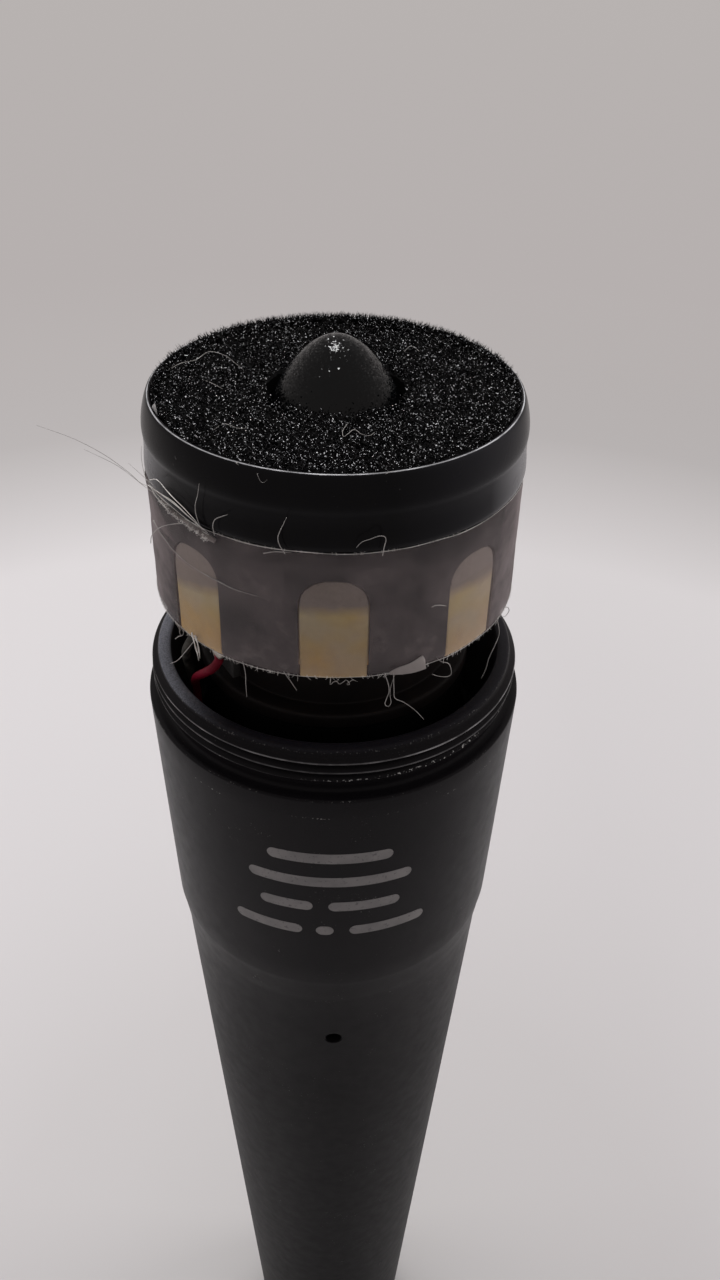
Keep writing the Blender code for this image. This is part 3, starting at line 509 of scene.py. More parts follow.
class Shade(Nodes):
    """One procedural material. Its lengths are in metres."""

    def __init__(self, name, roughness=0.5, metallic=0.0, **constants):
        self.material = bpy.data.materials.new(name)
        self.material.use_nodes = True
        super().__init__(self.material.node_tree)
        self.out = self.node("ShaderNodeOutputMaterial")
        self.bsdf = self.node("ShaderNodeBsdfPrincipled")
        self.show(self.bsdf.outputs[0])
        self.set("Roughness", roughness)
        self.set("Metallic", metallic)
        for key, value in constants.items():
            self.set(key.replace("_", " ").title().replace("Ior", "IOR"), value)

    def set(self, name, value):
        self.feed(self.bsdf.inputs[name], value)

    def show(self, shader):
        self.feed(self.out.inputs[0], shader)

    def finish(self, base, roughness=None, normal=None):
        """Joins what is given to the surface, and returns the material."""
        for name, value in (("Base Color", base), ("Roughness", roughness), ("Normal", normal)):
            if value is not None:
                self.set(name, value)
        return self.material


def floor_material():
    """A pale floor with painted light and shade in its tone, which it keeps into the distance, where the
    lamps no longer reach.
    """
    s = Shade("studio_floor", 0.8, specular_ior_level=0.1)
    x, _, _ = s.split()
    away = s.radius()
    # Painted light and shade by distance from the object: darker close to it, brightest in a band further
    # out, darker beyond
    steps = s.math("LOGARITHM", s.plus(away, 0.02), 10.0)
    painted_light_ramp = s.node("ShaderNodeValToRGB", {0: s.remap(steps, -1.7, 0.4)})
    stops = painted_light_ramp.color_ramp.elements
    stops.remove(stops[1])
    stops[0].color = (*linear(189, 185, 183), 1.0)
    for at, rgb in ((0.30, (198, 193, 192)), (0.46, (212, 207, 207)), (0.545, (219, 214, 214)),
                    (0.61, (186, 181, 180)), (0.70, (182, 176, 175)), (1.0, (184, 179, 177))):
        stops.new(at).color = (*linear(*rgb), 1.0)
    # Painted shade on the floor's right side, near the object
    side = s.times(s.remap(x, -0.04, 0.07, 0.0, 0.15), s.remap(away, 0.55, 0.2))
    tone = s.mix(side, painted_light_ramp.outputs[0], (120, 114, 112))
    s.set("Base Color", tone)
    glow = s.node("ShaderNodeEmission", {"Color": tone, "Strength": 1.0})
    share = s.times(s.seen(), s.remap(away, 0.12, 0.45))
    s.show(s.blend(share, s.bsdf.outputs[0], glow.outputs[0]))
    return s.material


def paint_material():
    """Matt black paint on the casting, with dust, rubbed thread crests with a painted highlight, speckled rub
    lines, and painted light and shade: darker towards the barrel's foot, lighter on the rim's face and in the
    bore.
    """
    s = Shade("handle_paint", specular_ior_level=0.085)
    x, y, z = s.split()
    radius = s.radius()
    base = s.tones((14, 12, 14), (18, 15, 17), 110.0, 3.0)
    # Painted shade: the barrel darker towards its foot; the same mask also makes it rougher there
    lower = s.remap(z, 0.118, 0.095)
    base = s.mix(s.times(lower, 0.8), base, (4, 3, 4))
    grain = s.noise(7500.0, 1.0)
    base = s.mix(s.remap(grain, 0.4, 0.75, 0.0, 0.25), base, (34, 31, 34))
    dust = s.times(s.remap(s.noise(5200.0, 0.0), 0.76, 0.80), s.remap(s.noise(240.0), 0.58, 0.68))
    base = s.mix(s.times(dust, 0.4), base, (120, 116, 114))
    # Rub lines round the collar, on the lowest crest, at the neck's top and on the shoulder's edge
    speck = s.remap(s.noise(5200.0, 1.0), 0.60, 0.68)
    patches = s.remap(s.noise(260.0), 0.50, 0.60)
    rings = s.times(s.band(z, 0.1438, 0.00003, 0.00006), s.times(patches, 0.5))
    last_crest = s.times(s.band(z, 0.14790, 0.00008, 0.00006), s.remap(radius, 0.01755, 0.01765))
    rings = s.most(rings, s.times(last_crest, s.remap(s.noise(190.0, 1.0), 0.42, 0.5)))
    worn = s.times(s.band(radius, 0.01733, 0.00006, 0.00006), s.remap(z, 0.15055, 0.15065, 0.0, 0.15))
    shoulder = s.times(s.band(z, 0.14600, 0.00005, 0.00005), s.remap(radius, 0.01848, 0.01852, 0.0, 0.3))
    rings = s.most(rings, s.most(worn, s.times(shoulder, patches)))
    # Painted light: the rim's face lighter all round and palest at the left, and the bore below it lighter
    face = s.times(s.remap(z, 0.15060, 0.15085), s.band(radius, 0.0167, 0.00058, 0.0001))
    face = s.times(face, s.remap(grain, 0.35, 0.7, 0.5, 1.0))
    left = s.times(s.remap(x, -0.0085, -0.0135), s.remap(y, -0.0150, -0.0100))
    inside = s.times(s.remap(radius, 0.01618, 0.01612), s.remap(z, 0.120, 0.125))
    base = s.mix(inside, base, (60, 56, 57))
    base = s.mix(s.times(face, 0.8), base, (30, 28, 33))
    base = s.mix(s.times(face, left), base, (108, 108, 115))
    base = s.mix(s.times(rings, speck), base, (176, 172, 168))
    # Rubbed thread crests, with a painted highlight along them that is brighter on the upper crests
    crest = s.times(s.remap(radius, 0.01792, 0.01799), s.band(z, 0.1489, 0.0017, 0.0002))
    crest = s.times(crest, s.remap(s.noise(420.0, 3.0), 0.4, 0.62, 0.3, 1.0))
    crest = s.times(crest, s.remap(z, 0.1493, 0.1497, 0.4, 1.0))
    base = s.mix(crest, base, (150, 146, 146))
    rough = s.plus(s.spread(s.noise(700.0, 3.0), 0.34, 0.40), s.times(lower, 0.1))
    return s.finish(base, rough, s.bump(grain, 0.000010, 0.45))


def ink_material():
    s = Shade("print_ink", 0.55)
    wear = s.noise(2600.0)
    base = s.tones((104, 100, 99), (122, 117, 115), 500.0)
    base = s.mix(s.remap(wear, 0.60, 0.72, 0.0, 0.7), base, (60, 57, 58))
    return s.finish(base, normal=s.bump(wear, 0.000008, 0.5))


def gloss_material():
    """Smooth black plastic with dust specks, a painted highlight along the lip, a painted reflection on the
    right side and a painted sheen on both sides of its foot.
    """
    s = Shade("cap_gloss", specular_ior_level=0.10)
    _, _, z = s.split()
    turn = s.turn()
    smear = s.noise(230.0, 3.0)
    base = s.mix(s.remap(smear, 0.4, 0.7), (5, 4, 6), (8, 7, 9))
    dust = s.times(s.remap(s.noise(4200.0, 0.0), 0.79, 0.82), s.remap(s.noise(300.0), 0.56, 0.66))
    base = s.mix(s.times(dust, 0.3), base, (110, 106, 106))
    # Painted reflection: a greyer patch on the right side
    film = s.times(s.remap(turn, 0.3, 0.85), s.remap(turn, 1.45, 1.1))
    base = s.mix(film, base, (32, 31, 34))
    # Painted sheen: a pale band along the foot on both sides
    aside = s.math("ABSOLUTE", turn)
    foot = s.times(s.remap(aside, 0.87, 1.22), s.remap(aside, 2.3, 1.8))
    foot = s.times(foot, s.remap(z, 0.17415, 0.17400))
    base = s.mix(foot, base, (112, 110, 112))
    # Painted highlight: a thin bright line along the lip
    lip = s.band(s.radius(), 0.01583, 0.00001, 0.00006)
    lip = s.times(lip, s.remap(s.noise(500.0), 0.35, 0.6, 0.4, 1.0))
    base = s.mix(lip, base, (196, 194, 196))
    return s.finish(base, s.remap(smear, 0.35, 0.7, 0.20, 0.30), s.bump(s.noise(420.0), 0.00002, 0.2))


def foam_material(name, dark, light, glint, roughness):
    """Open black foam. glint is the tone of painted glints: small spots painted as if they caught the light,
    fewer towards the back.
    """
    s = Shade(name, roughness, specular_ior_level=0.12)
    base = s.tones(dark, light, 1400.0, 3.0)
    _, y, _ = s.split()
    # Painted glints, more of them towards the front
    painted_glint_spots = s.plus(s.noise(7000.0, 0.0), s.remap(y, -0.013, 0.013, 0.004, -0.014))
    base = s.mix(s.remap(painted_glint_spots, 0.715, 0.74), base, glint)
    return s.finish(base, normal=s.bump(s.noise(9000.0), 0.00002, 0.6))


def dome_material():
    """Plastic with a pebbled grain, whose small facets lean at random and each catch a lamp or miss it."""
    s = Shade("dome_plastic", specular_ior_level=0.22)
    cells = s.node("ShaderNodeTexVoronoi", {"Vector": s.place, "Scale": 9000.0}).outputs
    amount = s.node("ShaderNodeTexWhiteNoise", {"Vector": cells["Position"]}).outputs["Value"]
    lean = s.node("ShaderNodeVectorMath", {0: s.vector("SUBTRACT", cells["Color"], (0.5, 0.5, 0.5)),
                                           "Scale": s.remap(amount, 0.0, 1.0, 0.0, 0.66)}, operation="SCALE")
    facing = s.node("ShaderNodeNewGeometry").outputs["Normal"]
    return s.finish(s.tones((1, 1, 2), (2, 3, 4), 300.0, 3.0), s.remap(amount, 0.0, 1.0, 0.08, 0.13),
                    s.vector("NORMALIZE", s.vector("ADD", facing, lean.outputs[0])))


def cloth_material(name, clear, dark, light):
    """Fine plain weave. clear is the share of light that passes straight between the threads.

    The gaps between the threads close where the cloth is seen at a slant.
    """
    s = Shade(name, 0.85, sheen_weight=0.2)
    _, _, z = s.split()
    around = s.times(s.turn(), 0.01664)
    pitch = 0.00016
    warp = s.math("SINE", s.times(around, 2 * math.pi / pitch))
    weft = s.math("SINE", s.times(z, 2 * math.pi / pitch))
    weave = s.remap(s.times(warp, weft), -1.0, 1.0)
    slub = s.noise(900.0, 3.0, place=s.stretched(0.6, 0.6, 2.2))
    stain = s.remap(s.noise(190.0, 4.0, 0.6), 0.33, 0.67)
    tone = s.plus(s.times(weave, 0.3), s.times(slub, 0.25))
    tone = s.plus(tone, s.times(stain, 0.45))
    tone = s.plus(tone, s.times(s.band(z, 0.1668, 0.0018, 0.0025), 0.13))
    tone = s.math("SUBTRACT", tone, s.remap(z, 0.1690, 0.1697, 0.0, 0.1))
    colour = s.mix(s.remap(tone, 0.25, 0.75), dark, light)
    s.finish(colour, normal=s.bump(weave, 0.00003, 0.6, s.bump(s.noise(1500.0), 0.00004, 0.4)))
    if clear > 0:
        glow = s.node("ShaderNodeBsdfTranslucent", {"Color": colour})
        body = s.blend(0.35, s.bsdf.outputs[0], glow.outputs[0])
        slant = s.node("ShaderNodeLayerWeight", {"Blend": 0.5}).outputs["Facing"]
        gaps = s.remap(weave, 0.0, 1.0, clear + 0.08, clear - 0.08)
        gaps = s.times(gaps, s.remap(stain, 0.0, 1.0, 1.10, 0.88))
        gaps = s.times(gaps, s.remap(slant, 0.62, 0.86, 1.0, 0.05))
        s.show(s.blend(gaps, body, s.node("ShaderNodeBsdfTransparent").outputs[0]))
    return s.material


def fibre_material(name, dark, light):
    s = Shade(name, 0.6, sheen_weight=0.2)
    return s.finish(s.tones(dark, light, 800.0), normal=s.bump(s.noise(12000.0, 1.0), 0.000004, 0.5))


def plastic(name, dark, light, roughness, grain=2600.0, depth=0.00001, tone_scale=350.0, **constants):
    """Moulded plastic, rubber, lacquer or paint: two tones, a grain and uneven gloss."""
    s = Shade(name, **constants)
    return s.finish(s.tones(dark, light, tone_scale, 3.0), s.spread(s.noise(900.0), *roughness),
                    s.bump(s.noise(grain), depth, 0.5))


def metal(name, dark, light, roughness, brushed=(1.0, 1.0, 30.0)):
    """Metal in two tones with the fine lines of its working."""
    s = Shade(name, metallic=1.0)
    lines = s.noise(500.0, 2.0, place=s.stretched(*brushed))
    return s.finish(s.tones(dark, light, 400.0, 3.0), s.spread(lines, *roughness),
                    s.bump(lines, 0.000006, 0.4))


def cream_material():
    """Aged cream plastic: yellow with greyer clouds, browner at its foot, paler and greyer towards the right
    side as painted light, and the felt's grey on its top edge.
    """
    s = Shade("cream_plastic", specular_ior_level=0.3)
    _, _, z = s.split()
    turn = s.turn()
    cloud = s.noise(230.0)
    top = s.mix(s.remap(cloud, 0.38, 0.62), (232, 202, 122), (224, 204, 162))
    foot = s.mix(s.remap(cloud, 0.38, 0.62), (244, 194, 112), (232, 198, 144))
    level = s.plus(z, s.spread(s.noise(90.0), -0.0012, 0.0012))
    body = s.mix(s.remap(level, 0.1586, 0.1630), foot, top)
    # Painted light: paler and greyer towards the right side
    body = s.mix(s.remap(turn, 0.35, 1.0, 0.0, 0.55), body, (218, 206, 190))
    # The felt's grey on the top edge, reaching lower towards both sides
    left = s.remap(turn, math.radians(-30), math.radians(-62), 0.0, 0.0025)
    right = s.remap(turn, math.radians(34), math.radians(62), 0.0, 0.0008)
    edge = s.plus(z, s.plus(left, right))
    edge = s.plus(edge, s.spread(s.noise(900.0, 3.0), -0.00012, 0.00012))
    felt = s.mix(s.noise(2600.0, 4.0, 0.7), (154, 140, 128), (172, 158, 144))
    return s.finish(s.mix(s.remap(edge, 0.16455, 0.16565), body, felt),
                    s.spread(s.noise(600.0), 0.5, 0.65), s.bump(s.noise(3000.0), 0.00001, 0.4))


def felt_material():
    s = Shade("grey_felt", 0.95, sheen_weight=0.4)
    hair = s.noise(2600.0, 4.0, 0.7, distortion=1.5)
    base = s.mix(s.spread(hair), (152, 138, 126), (174, 160, 148))
    return s.finish(base, normal=s.bump(hair, 0.00006, 0.8))


def coil_material():
    s = Shade("coil_copper", 0.35, 0.9)
    _, _, z = s.split()
    turns = s.math("SINE", s.times(z, 2 * math.pi / 0.00012))
    base = s.mix(s.remap(turns, -1.0, 1.0), (120, 60, 30), (196, 110, 62))
    return s.finish(base, normal=s.bump(turns, 0.00003, 0.8))


# Handle and connector

def thread_height(z, azimuth):
    """How far the helical thread stands at a place, from 0 at its root to 1 at its crest."""
    phase = ((z - THREAD_PHASE) / THREAD_PITCH + azimuth / 360.0) % 1.0
    ridge = 1.0 - abs(2.0 * phase - 1.0)
    body = min(max((ridge - 0.16) / 0.76, 0.0), 1.0)
    return body * smoothstep(147.1, 148.15, z) * (1.0 - smoothstep(150.1, 150.5, z))


def build_handle():
    paint = paint_material()
    outline = []
    for k in range(7):
        a = math.pi / 2 * k / 6
        outline.append((END_R + 0.02 - 0.4 + 0.4 * math.sin(a), 0.4 - 0.4 * math.cos(a)))
    for k in range(1, 25):
        z = BARREL_TOP * k / 24
        outline.append((END_R + (BARREL_R - END_R) * z / BARREL_TOP, z))
    outline += [(17.32, 114.9), (17.45, 115.9), (17.6, 117.2), (17.72, 118.0)]
    for k in range(13):
        t = k / 12
        height = COLLAR_FOOT + (SHOULDER - 0.25 - COLLAR_FOOT) * t
        outline.append((COLLAR_R[0] + (COLLAR_R[1] - COLLAR_R[0]) * t, height))
    outline += [(18.56, 145.95), (18.49, 146.04), (18.38, SHOULDER), (18.05, SHOULDER), (17.6, 146.14),
                (17.38, 146.26), (NECK_R, 146.45), (NECK_R, 146.8), (NECK_R, 147.1)]
    low, high = THREAD_Z
    rows = 62
    for k in range(rows + 1):
        outline.append((THREAD_R[1], low + (high - low) * k / rows))
    outline += [(17.34, 150.72), (17.26, 150.86), (17.12, 150.94), (16.95, RIM), (16.6, RIM), (16.36, RIM),
                (16.22, 150.93), (16.12, 150.82), (16.085, 150.66), (16.07, 149.5), (16.02, 145.6),
                (15.95, 140.0), (15.79, 127.98), (15.1, 127.98), (15.1, 114.0), (10.72, 27.5), (8.6, 27.5),
                (8.6, 25.5), (9.5, 25.5), (9.5, 7.0), (9.9, 6.6), (9.9, 4.2), (9.5, 3.8), (9.5, 0.4)]
    for k in range(1, 5):
        a = math.pi / 2 * k / 4
        outline.append((9.5 + 0.35 * (1 - math.cos(a)), 0.4 - 0.4 * math.sin(a)))

    def shape(r, z, azimuth):
        if r != THREAD_R[1]:
            return r, z
        root = NECK_R + 0.12 * smoothstep(low, low + 0.3, z) - 0.06 * smoothstep(high - 0.3, high, z)
        return root + (THREAD_R[1] - THREAD_R[0]) * thread_height(z, azimuth), z

    hole = side_hole(SIDE_HOLE_R, SIDE_HOLE_TURN, SIDE_HOLE_Z, 13, 20, 40)
    screw = side_hole(SCREW_R, SCREW_TURN, SCREW_Z, 7, 14.5, 40)
    skin = lathe("handle_skin", outline, paint, steps=256, angle=40, shape=shape, cut=[hole, screw])
    piece(skin, "handle_paint", "handle_shell")
    build_hole_lip(paint)


def build_hole_lip(paint):
    """The turned-in edge and the wall of the small hole in the barrel."""
    liner = Mesh()
    turn = 40
    for i in range(turn):
        a = 2 * math.pi * i / turn
        for radius, depth in ((0.99, 16.86), (0.9, 16.7), (0.86, 15.0), (1.02, 15.0), (1.02, 16.75)):
            flat = Vector((radius * math.cos(a), -depth, SIDE_HOLE_Z + radius * math.sin(a)))
            liner.verts.append(Matrix.Rotation(math.radians(SIDE_HOLE_TURN), 3, "Z") @ flat)
    liner.grid(0, turn, 5, wrap=True)
    piece(liner.make("side_hole_lip", paint, 40, recalc=True), "handle_paint")


def build_print():
    """Four rows of pale bars on the collar: height, half span in degrees and parts of the span."""
    ink = ink_material()
    rows = [(137.5, 18.8, [(0.0, 1.0)]), (134.1, 25.3, [(0.0, 1.0)]),
            (130.4, 22.0, [(0.0, 0.38), (0.49, 1.0)]),
            (126.6, 31.2, [(0.0, 0.36), (0.43, 0.52), (0.60, 1.0)])]
    bars = Mesh()
    middle = 0.9
    for z, span, parts in rows:
        for a, b in parts:
            print_bar(bars, middle - span + 2 * span * a, middle - span + 2 * span * b, z + 0.1, z + 1.45)
    piece(bars.make("print_bars", ink, 40, recalc=True), "handle_paint")


def collar_radius(z):
    return COLLAR_R[0] + (COLLAR_R[1] - COLLAR_R[0]) * (z - COLLAR_FOOT) / (SHOULDER - COLLAR_FOOT)


def print_bar(build, start, end, low, high):
    """Adds a thin bar of ink with rounded ends that follows the collar."""
    half = (high - low) / 2
    middle = (high + low) / 2
    length = math.radians(end - start) * collar_radius(middle)
    steps = max(10, int(length / 0.35))
    places = sorted({round(half * (1 - math.cos(math.pi / 2 * k / 5)), 4) for k in range(6)}
                    | {round(length - half * (1 - math.cos(math.pi / 2 * k / 5)), 4) for k in range(6)}
                    | {round(half + (length - 2 * half) * k / steps, 4) for k in range(steps + 1)})
    base = len(build.verts)
    for s in places:
        near = min(s, length - s)
        reach = half if near >= half else math.sqrt(max(half * half - (half - near) ** 2, 0.0025))
        azimuth = start + math.degrees(s / collar_radius(middle))
        top, foot = middle + reach, middle - reach
        for z, lift in ((top, 0.02), (foot, 0.02), (foot, -0.05), (top, -0.05)):
            build.verts.append(polar(collar_radius(z) + lift, azimuth, z))
    build.grid(base, len(places), 4)
    build.faces += [tuple(range(base, base + 4)), tuple(len(build.verts) - 1 - k for k in range(4))]


def build_insert():
    black = plastic("insert_plastic", (28, 28, 29), (38, 38, 39), (0.4, 0.55))
    front, back = INSERT
    holes = [ring_hole(PIN_R + 0.3, PIN_CIRCLE, a, 14.0, 27.0) for a in PINS.values()]
    holes.append(side_hole(SCREW_R, SCREW_TURN, SCREW_Z, 8.4, 11))
    insert = lathe("connector_insert", rounded([
        (0.0, front, 0), (3.0, front, 0), (3.1, 16.42, 0), (8.3, 16.42, 0), (8.4, front, 0),
        (9.2, front, 0.4), (9.2, back, 0.3), (0.0, back, 0)]), black, 96, cut=holes)
    piece(insert, "insert_plastic", "xlr_insert")


def build_contacts():
    nickel = metal("pin_nickel", (196, 190, 178), (222, 216, 205), (0.18, 0.3))
    for name, azimuth in PINS.items():
        outline = [(0.0, 1.6), (0.35, 1.64), (0.7, 1.8), (0.98, 2.1), (1.14, 2.5), (PIN_R, 3.0),
                   (PIN_R, 16.6), (1.12, 16.75), (1.12, 17.1), (PIN_R, 17.25), (PIN_R, 25.5), (1.9, 25.5),
                   (1.9, 26.1), (PIN_R, 26.1), (PIN_R, 29.8), (0.8, 29.8), (0.8, 26.8), (0.0, 26.8)]
        pin = lathe("contact_" + name[-1], outline, nickel, 40)
        pin.data.transform(Matrix.Translation(polar(PIN_CIRCLE, azimuth) * MM))
        piece(pin, "pin_nickel", name)
    brass = metal("contact_brass", (176, 142, 84), (204, 172, 110), (0.3, 0.45))
    frame["nodes"]["ground_ring"].data.materials[0] = brass


def build_screw():
    steel = metal("screw_steel", (50, 50, 52), (84, 82, 80), (0.3, 0.5))
    outline = rounded([(0.0, 0.0, 0), (1.5, 0.0, 0.25), (1.5, 3.0, 0.25), (0.0, 3.0, 0)])
    screw = lathe("locking_screw", outline, steel, 40)
    difference(screw, [drill(0.8, (0, 0, 1.8), (0, 0, 4.0), 6)])
    lying = Matrix.Rotation(math.radians(-90), 4, "X")
    screw.data.transform(Matrix.Translation(polar(8.7, SCREW_TURN, SCREW_Z) * MM) @ lying)
    smooth(screw.data, 30)
    piece(screw, "screw_steel", "xlr_set_screw")


# Inside the handle's mouth

def build_mount():
    rubber = plastic("mount_rubber", (5, 5, 5), (8, 8, 8), (0.7, 0.85), 5200.0, 0.00002,
                     specular_ior_level=0.03)
    notch = prism([(-2.2, 126.2), (2.2, 126.2), (2.2, 142.0), (-2.2, 142.0)], 13.3, 17.5, -70.5)
    mount = lathe("mount_ring", rounded([
        (15.49, 128.28, 0.4), (15.49, 139.98, 0.4), (14.29, 139.98, 0.3), (14.29, 135.28, 0.4),
        (13.0, 135.28, 0.4), (13.0, 149.68, 0.4), (11.8, 149.68, 0.2), (11.8, 130.28, 0.2),
        (13.0, 130.28, 0.2), (13.0, 132.28, 0.3), (14.29, 132.28, 0.3), (14.29, 128.28, 0.2)]),
        rubber, 128, cut=[notch])
    piece(mount, "mount_rubber", "shock_mount")


def build_chamber():
    shiny = plastic("chamber_plastic", (12, 9, 9), (18, 13, 12), (0.5, 0.65), 3000.0, 0.00001,
                    specular_ior_level=0.12)
    chamber = lathe("chamber_cup", rounded([
        (0.0, 124.58, 0), (11.5, 124.58, 0.8), (11.5, 149.98, 0), (13.2, 149.98, 0.1), (13.2, 151.38, 0.4),
        (11.5, 151.38, 0.2), (11.5, 157.38, 0.2), (13.87, 157.38, 0.15), (13.87, 158.58, 0.15),
        (10.5, 158.58, 0), (10.5, 125.58, 0), (0.0, 125.58, 0)]), shiny, 128)
    piece(chamber, "chamber_plastic", "rear_chamber")


def build_board():
    board = prism([(-4, 153.08), (4, 153.08), (4, 157.08), (-4, 157.08)], 12.2, 13.0, BOARD_TURN)
    bevel = board.modifiers.new("edge", "BEVEL")
    bevel.width = 0.12 * MM
    bevel.segments = 2
    apply_modifiers(board)
    board.name = "terminal_card"
    laminate = Shade("board_laminate")
    fibres = laminate.noise(1500.0, 3.0, place=laminate.stretched(1.0, 1.0, 6.0))
    base = laminate.mix(fibres, (13, 11, 10), (22, 19, 17))
    rough, bump = laminate.spread(fibres, 0.55, 0.75), laminate.bump(fibres, 0.00001, 0.5)
    board.data.materials.append(laminate.finish(base, rough, bump))
    piece(board, "board_laminate", "terminal_board")


def build_solder(solder):
    turn = Matrix.Rotation(math.radians(BOARD_TURN), 3, "Z")
    for name, node, side in (("solder_a", "solder_joint_red", 1), ("solder_b", "solder_joint_white", -1)):
        blob = Mesh()
        ring, rows = 24, 9
        for j in range(rows + 1):
            b = math.pi * j / rows
            for i in range(ring):
                a = 2 * math.pi * i / ring
                swell = 1 + 0.12 * math.sin(3 * a + side) * math.sin(b)
                local = Vector((0.9 * swell * math.sin(b) * math.cos(a), -0.42 * math.cos(b),
                                0.9 * swell * math.sin(b) * math.sin(a)))
                blob.verts.append(turn @ (local + Vector((side * 2.6, -13.705, 155.58))))
        blob.grid(0, rows + 1, ring)
        obj = blob.make(name, solder)
        face_outwards(obj.data, weld=True)
        piece(obj, "solder", node)


def build_leads(solder):
    red = plastic("red_insulation", (92, 10, 26), (128, 18, 42), (0.45, 0.6), 4000.0, specular_ior_level=0.1)
    # Painted shade: the white insulation is given dark grey tones, as the wire lies in shade inside the mouth
    white = plastic("white_insulation", (26, 25, 25), (92, 88, 83), (0.5, 0.65), 4000.0, tone_scale=1100.0,
                    specular_ior_level=0.1)
    # Radius, azimuth and height, above the rim for the routes and above the insert for the ends
    red_route = [(13.95, -46.4, 4.6), (14.1, -45.5, 3.8), (14.5, -47.6, 2.8),
                 (14.6, -52.7, 1.53), (14.6, -62.8, -1.1), (14.3, -66.3, -3.6),
                 (14.2, -67, -9), (14.2, -67, -17), (13.9, -64, -24.5), (13.7, -44, -33), (13.9, -17, -40),
                 (13.85, 2.5, -44.2), (13.2, 13, -52), (12.6, 16, -64)]
    red_end = [(11.7, 12, 45.5), (10.5, 6, 29.5), (8.4, 1, 16.5), (5.5, 0, 9), (4.9, 0, 6), (4.9, 0, 3)]
    white_route = [(13.95, -68.4, 4.6), (14.0, -68, 3.2), (14.8, -67.5, 2.0), (14.8, -71.5, 0.0),
                   (14.25, -74, -3.5), (14.2, -74, -10), (14.2, -74, -17), (13.8, -76, -24.5),
                   (13.4, -80, -34), (12.8, -88, -47), (12.2, -97, -63)]
    white_end = [(11.3, -104, 45.5), (10.0, -109, 28.5), (8.0, -112.5, 15.5), (5.5, -112.5, 8.5),
                 (4.9, -112.5, 6), (4.9, -112.5, 3)]
    for name, node, upper, lower, material, slot in (
            ("wire_red", "lead_red", red_route, red_end, red, "red_insulation"),
            ("wire_white", "lead_white", white_route, white_end, white, "white_insulation")):
        knots = [polar(r, a, RIM + h) for r, a, h in upper]
        knots += [polar(r, a, INSERT[1] + h) for r, a, h in lower]
        wire = Mesh()
        points = spline(knots, 0.8)
        wire.tube(points[:-2], WIRE_R, 14)
        obj = wire.make(name, material, 50)
        piece(obj, slot, node)
        strands = Mesh()
        for tip in (points[:3], points[-4:]):
            for k in range(7):
                off = Vector((math.cos(k * 1.047), math.sin(k * 1.047), 0)) * (0.17 if k else 0)
                strands.tube([p + off for p in tip], 0.08, 6)
        piece(strands.make(name + "_strands", solder), "solder")


# Capsule

def from_port(azimuth):
    """Degrees from the middle of the nearest window."""
    return abs((azimuth - PORT_TURN + PORT_PITCH / 2) % PORT_PITCH - PORT_PITCH / 2)


def arch_share(across, up):
    """How far a place is from the middle of a window's arch: 1 on its edge."""
    p = ARCH_POWER
    return (abs(across / PORT_HALF) ** p + abs(max(up, 0.0) / ARCH_RISE) ** p) ** (1 / p)


def window_arch(steps):
    """The arch from right to left, fuller at its shoulders than a circle."""
    out = []
    for i in range(steps + 1):
        a = math.pi * i / steps
        x, z = math.cos(a), math.sin(a)
        across = PORT_HALF * math.copysign(abs(x) ** (2 / ARCH_POWER), x)
        out.append((across, ARCH_Z + ARCH_RISE * abs(z) ** (2 / ARCH_POWER)))
    return out


def build_cup():
    black = plastic("housing_plastic", (15, 14, 15), (22, 20, 21), (0.4, 0.55))
    outline = [(-PORT_HALF, 156.0), (PORT_HALF, 156.0)] + window_arch(32)
    windows = [prism(outline, 11.0, 19.0, PORT_TURN + PORT_PITCH * k) for k in range(PORTS)]
    housing = lathe("window_cup", rounded([
        (16.54, 158.72, 0.08), (16.40, 170.48, 0), (15.21, 170.48, 0), (15.21, 171.98, 0),
        (12.41, 171.98, 0.1), (12.41, 169.68, 0.1), (15.57, 169.68, 0), (15.57, 158.72, 0.08)]),
        black, 180, cut=windows)
    piece(housing, "housing_plastic", "cartridge_housing")

    def pad(r, z, azimuth):
        """The cream cup and the felt swell into the windows, nearly flush with the housing."""
        if r < 15.0:
            return r, z
        flush = 16.44 - 0.012 * (z - 158.7)
        across = flush * math.sin(math.radians(from_port(azimuth)))
        inside = 1.0 - smoothstep(0.955, 0.985, arch_share(across, z - ARCH_Z))
        if z < 158.76:
            z -= 0.26 * inside
        return CUP_R + (flush - CUP_R) * inside, z

    wall = [(CUP_R, 158.84 + 6.8 * k / 12) for k in range(13)]
    cream = lathe("cream_cup", [(15.06, 158.80), (CUP_R, 158.74)] + wall + [
        (CUP_R, 165.70), (11.3, 165.70), (11.3, 159.78), (3.0, 159.78), (3.0, 158.85), (14.2, 158.85)],
        cream_material(), 960, shape=pad)
    piece(cream, "cream_plastic", "transducer_frame")

    def ruffle(r, z, azimuth):
        r, z = pad(r, z, azimuth)
        fade = smoothstep(165.7, 166.3, z)
        return r + fade * (0.03 * noise.noise(polar(r, azimuth, z) * 1.7) - 0.03), z

    low, high = FELT
    wall = [(CUP_R, low + (high - low) * k / 40) for k in range(41)]
    felt = lathe("felt_band", wall + [(13.87, high), (13.87, low)], felt_material(), 960, shape=ruffle)
    piece(felt, "grey_felt", "felt_ring")


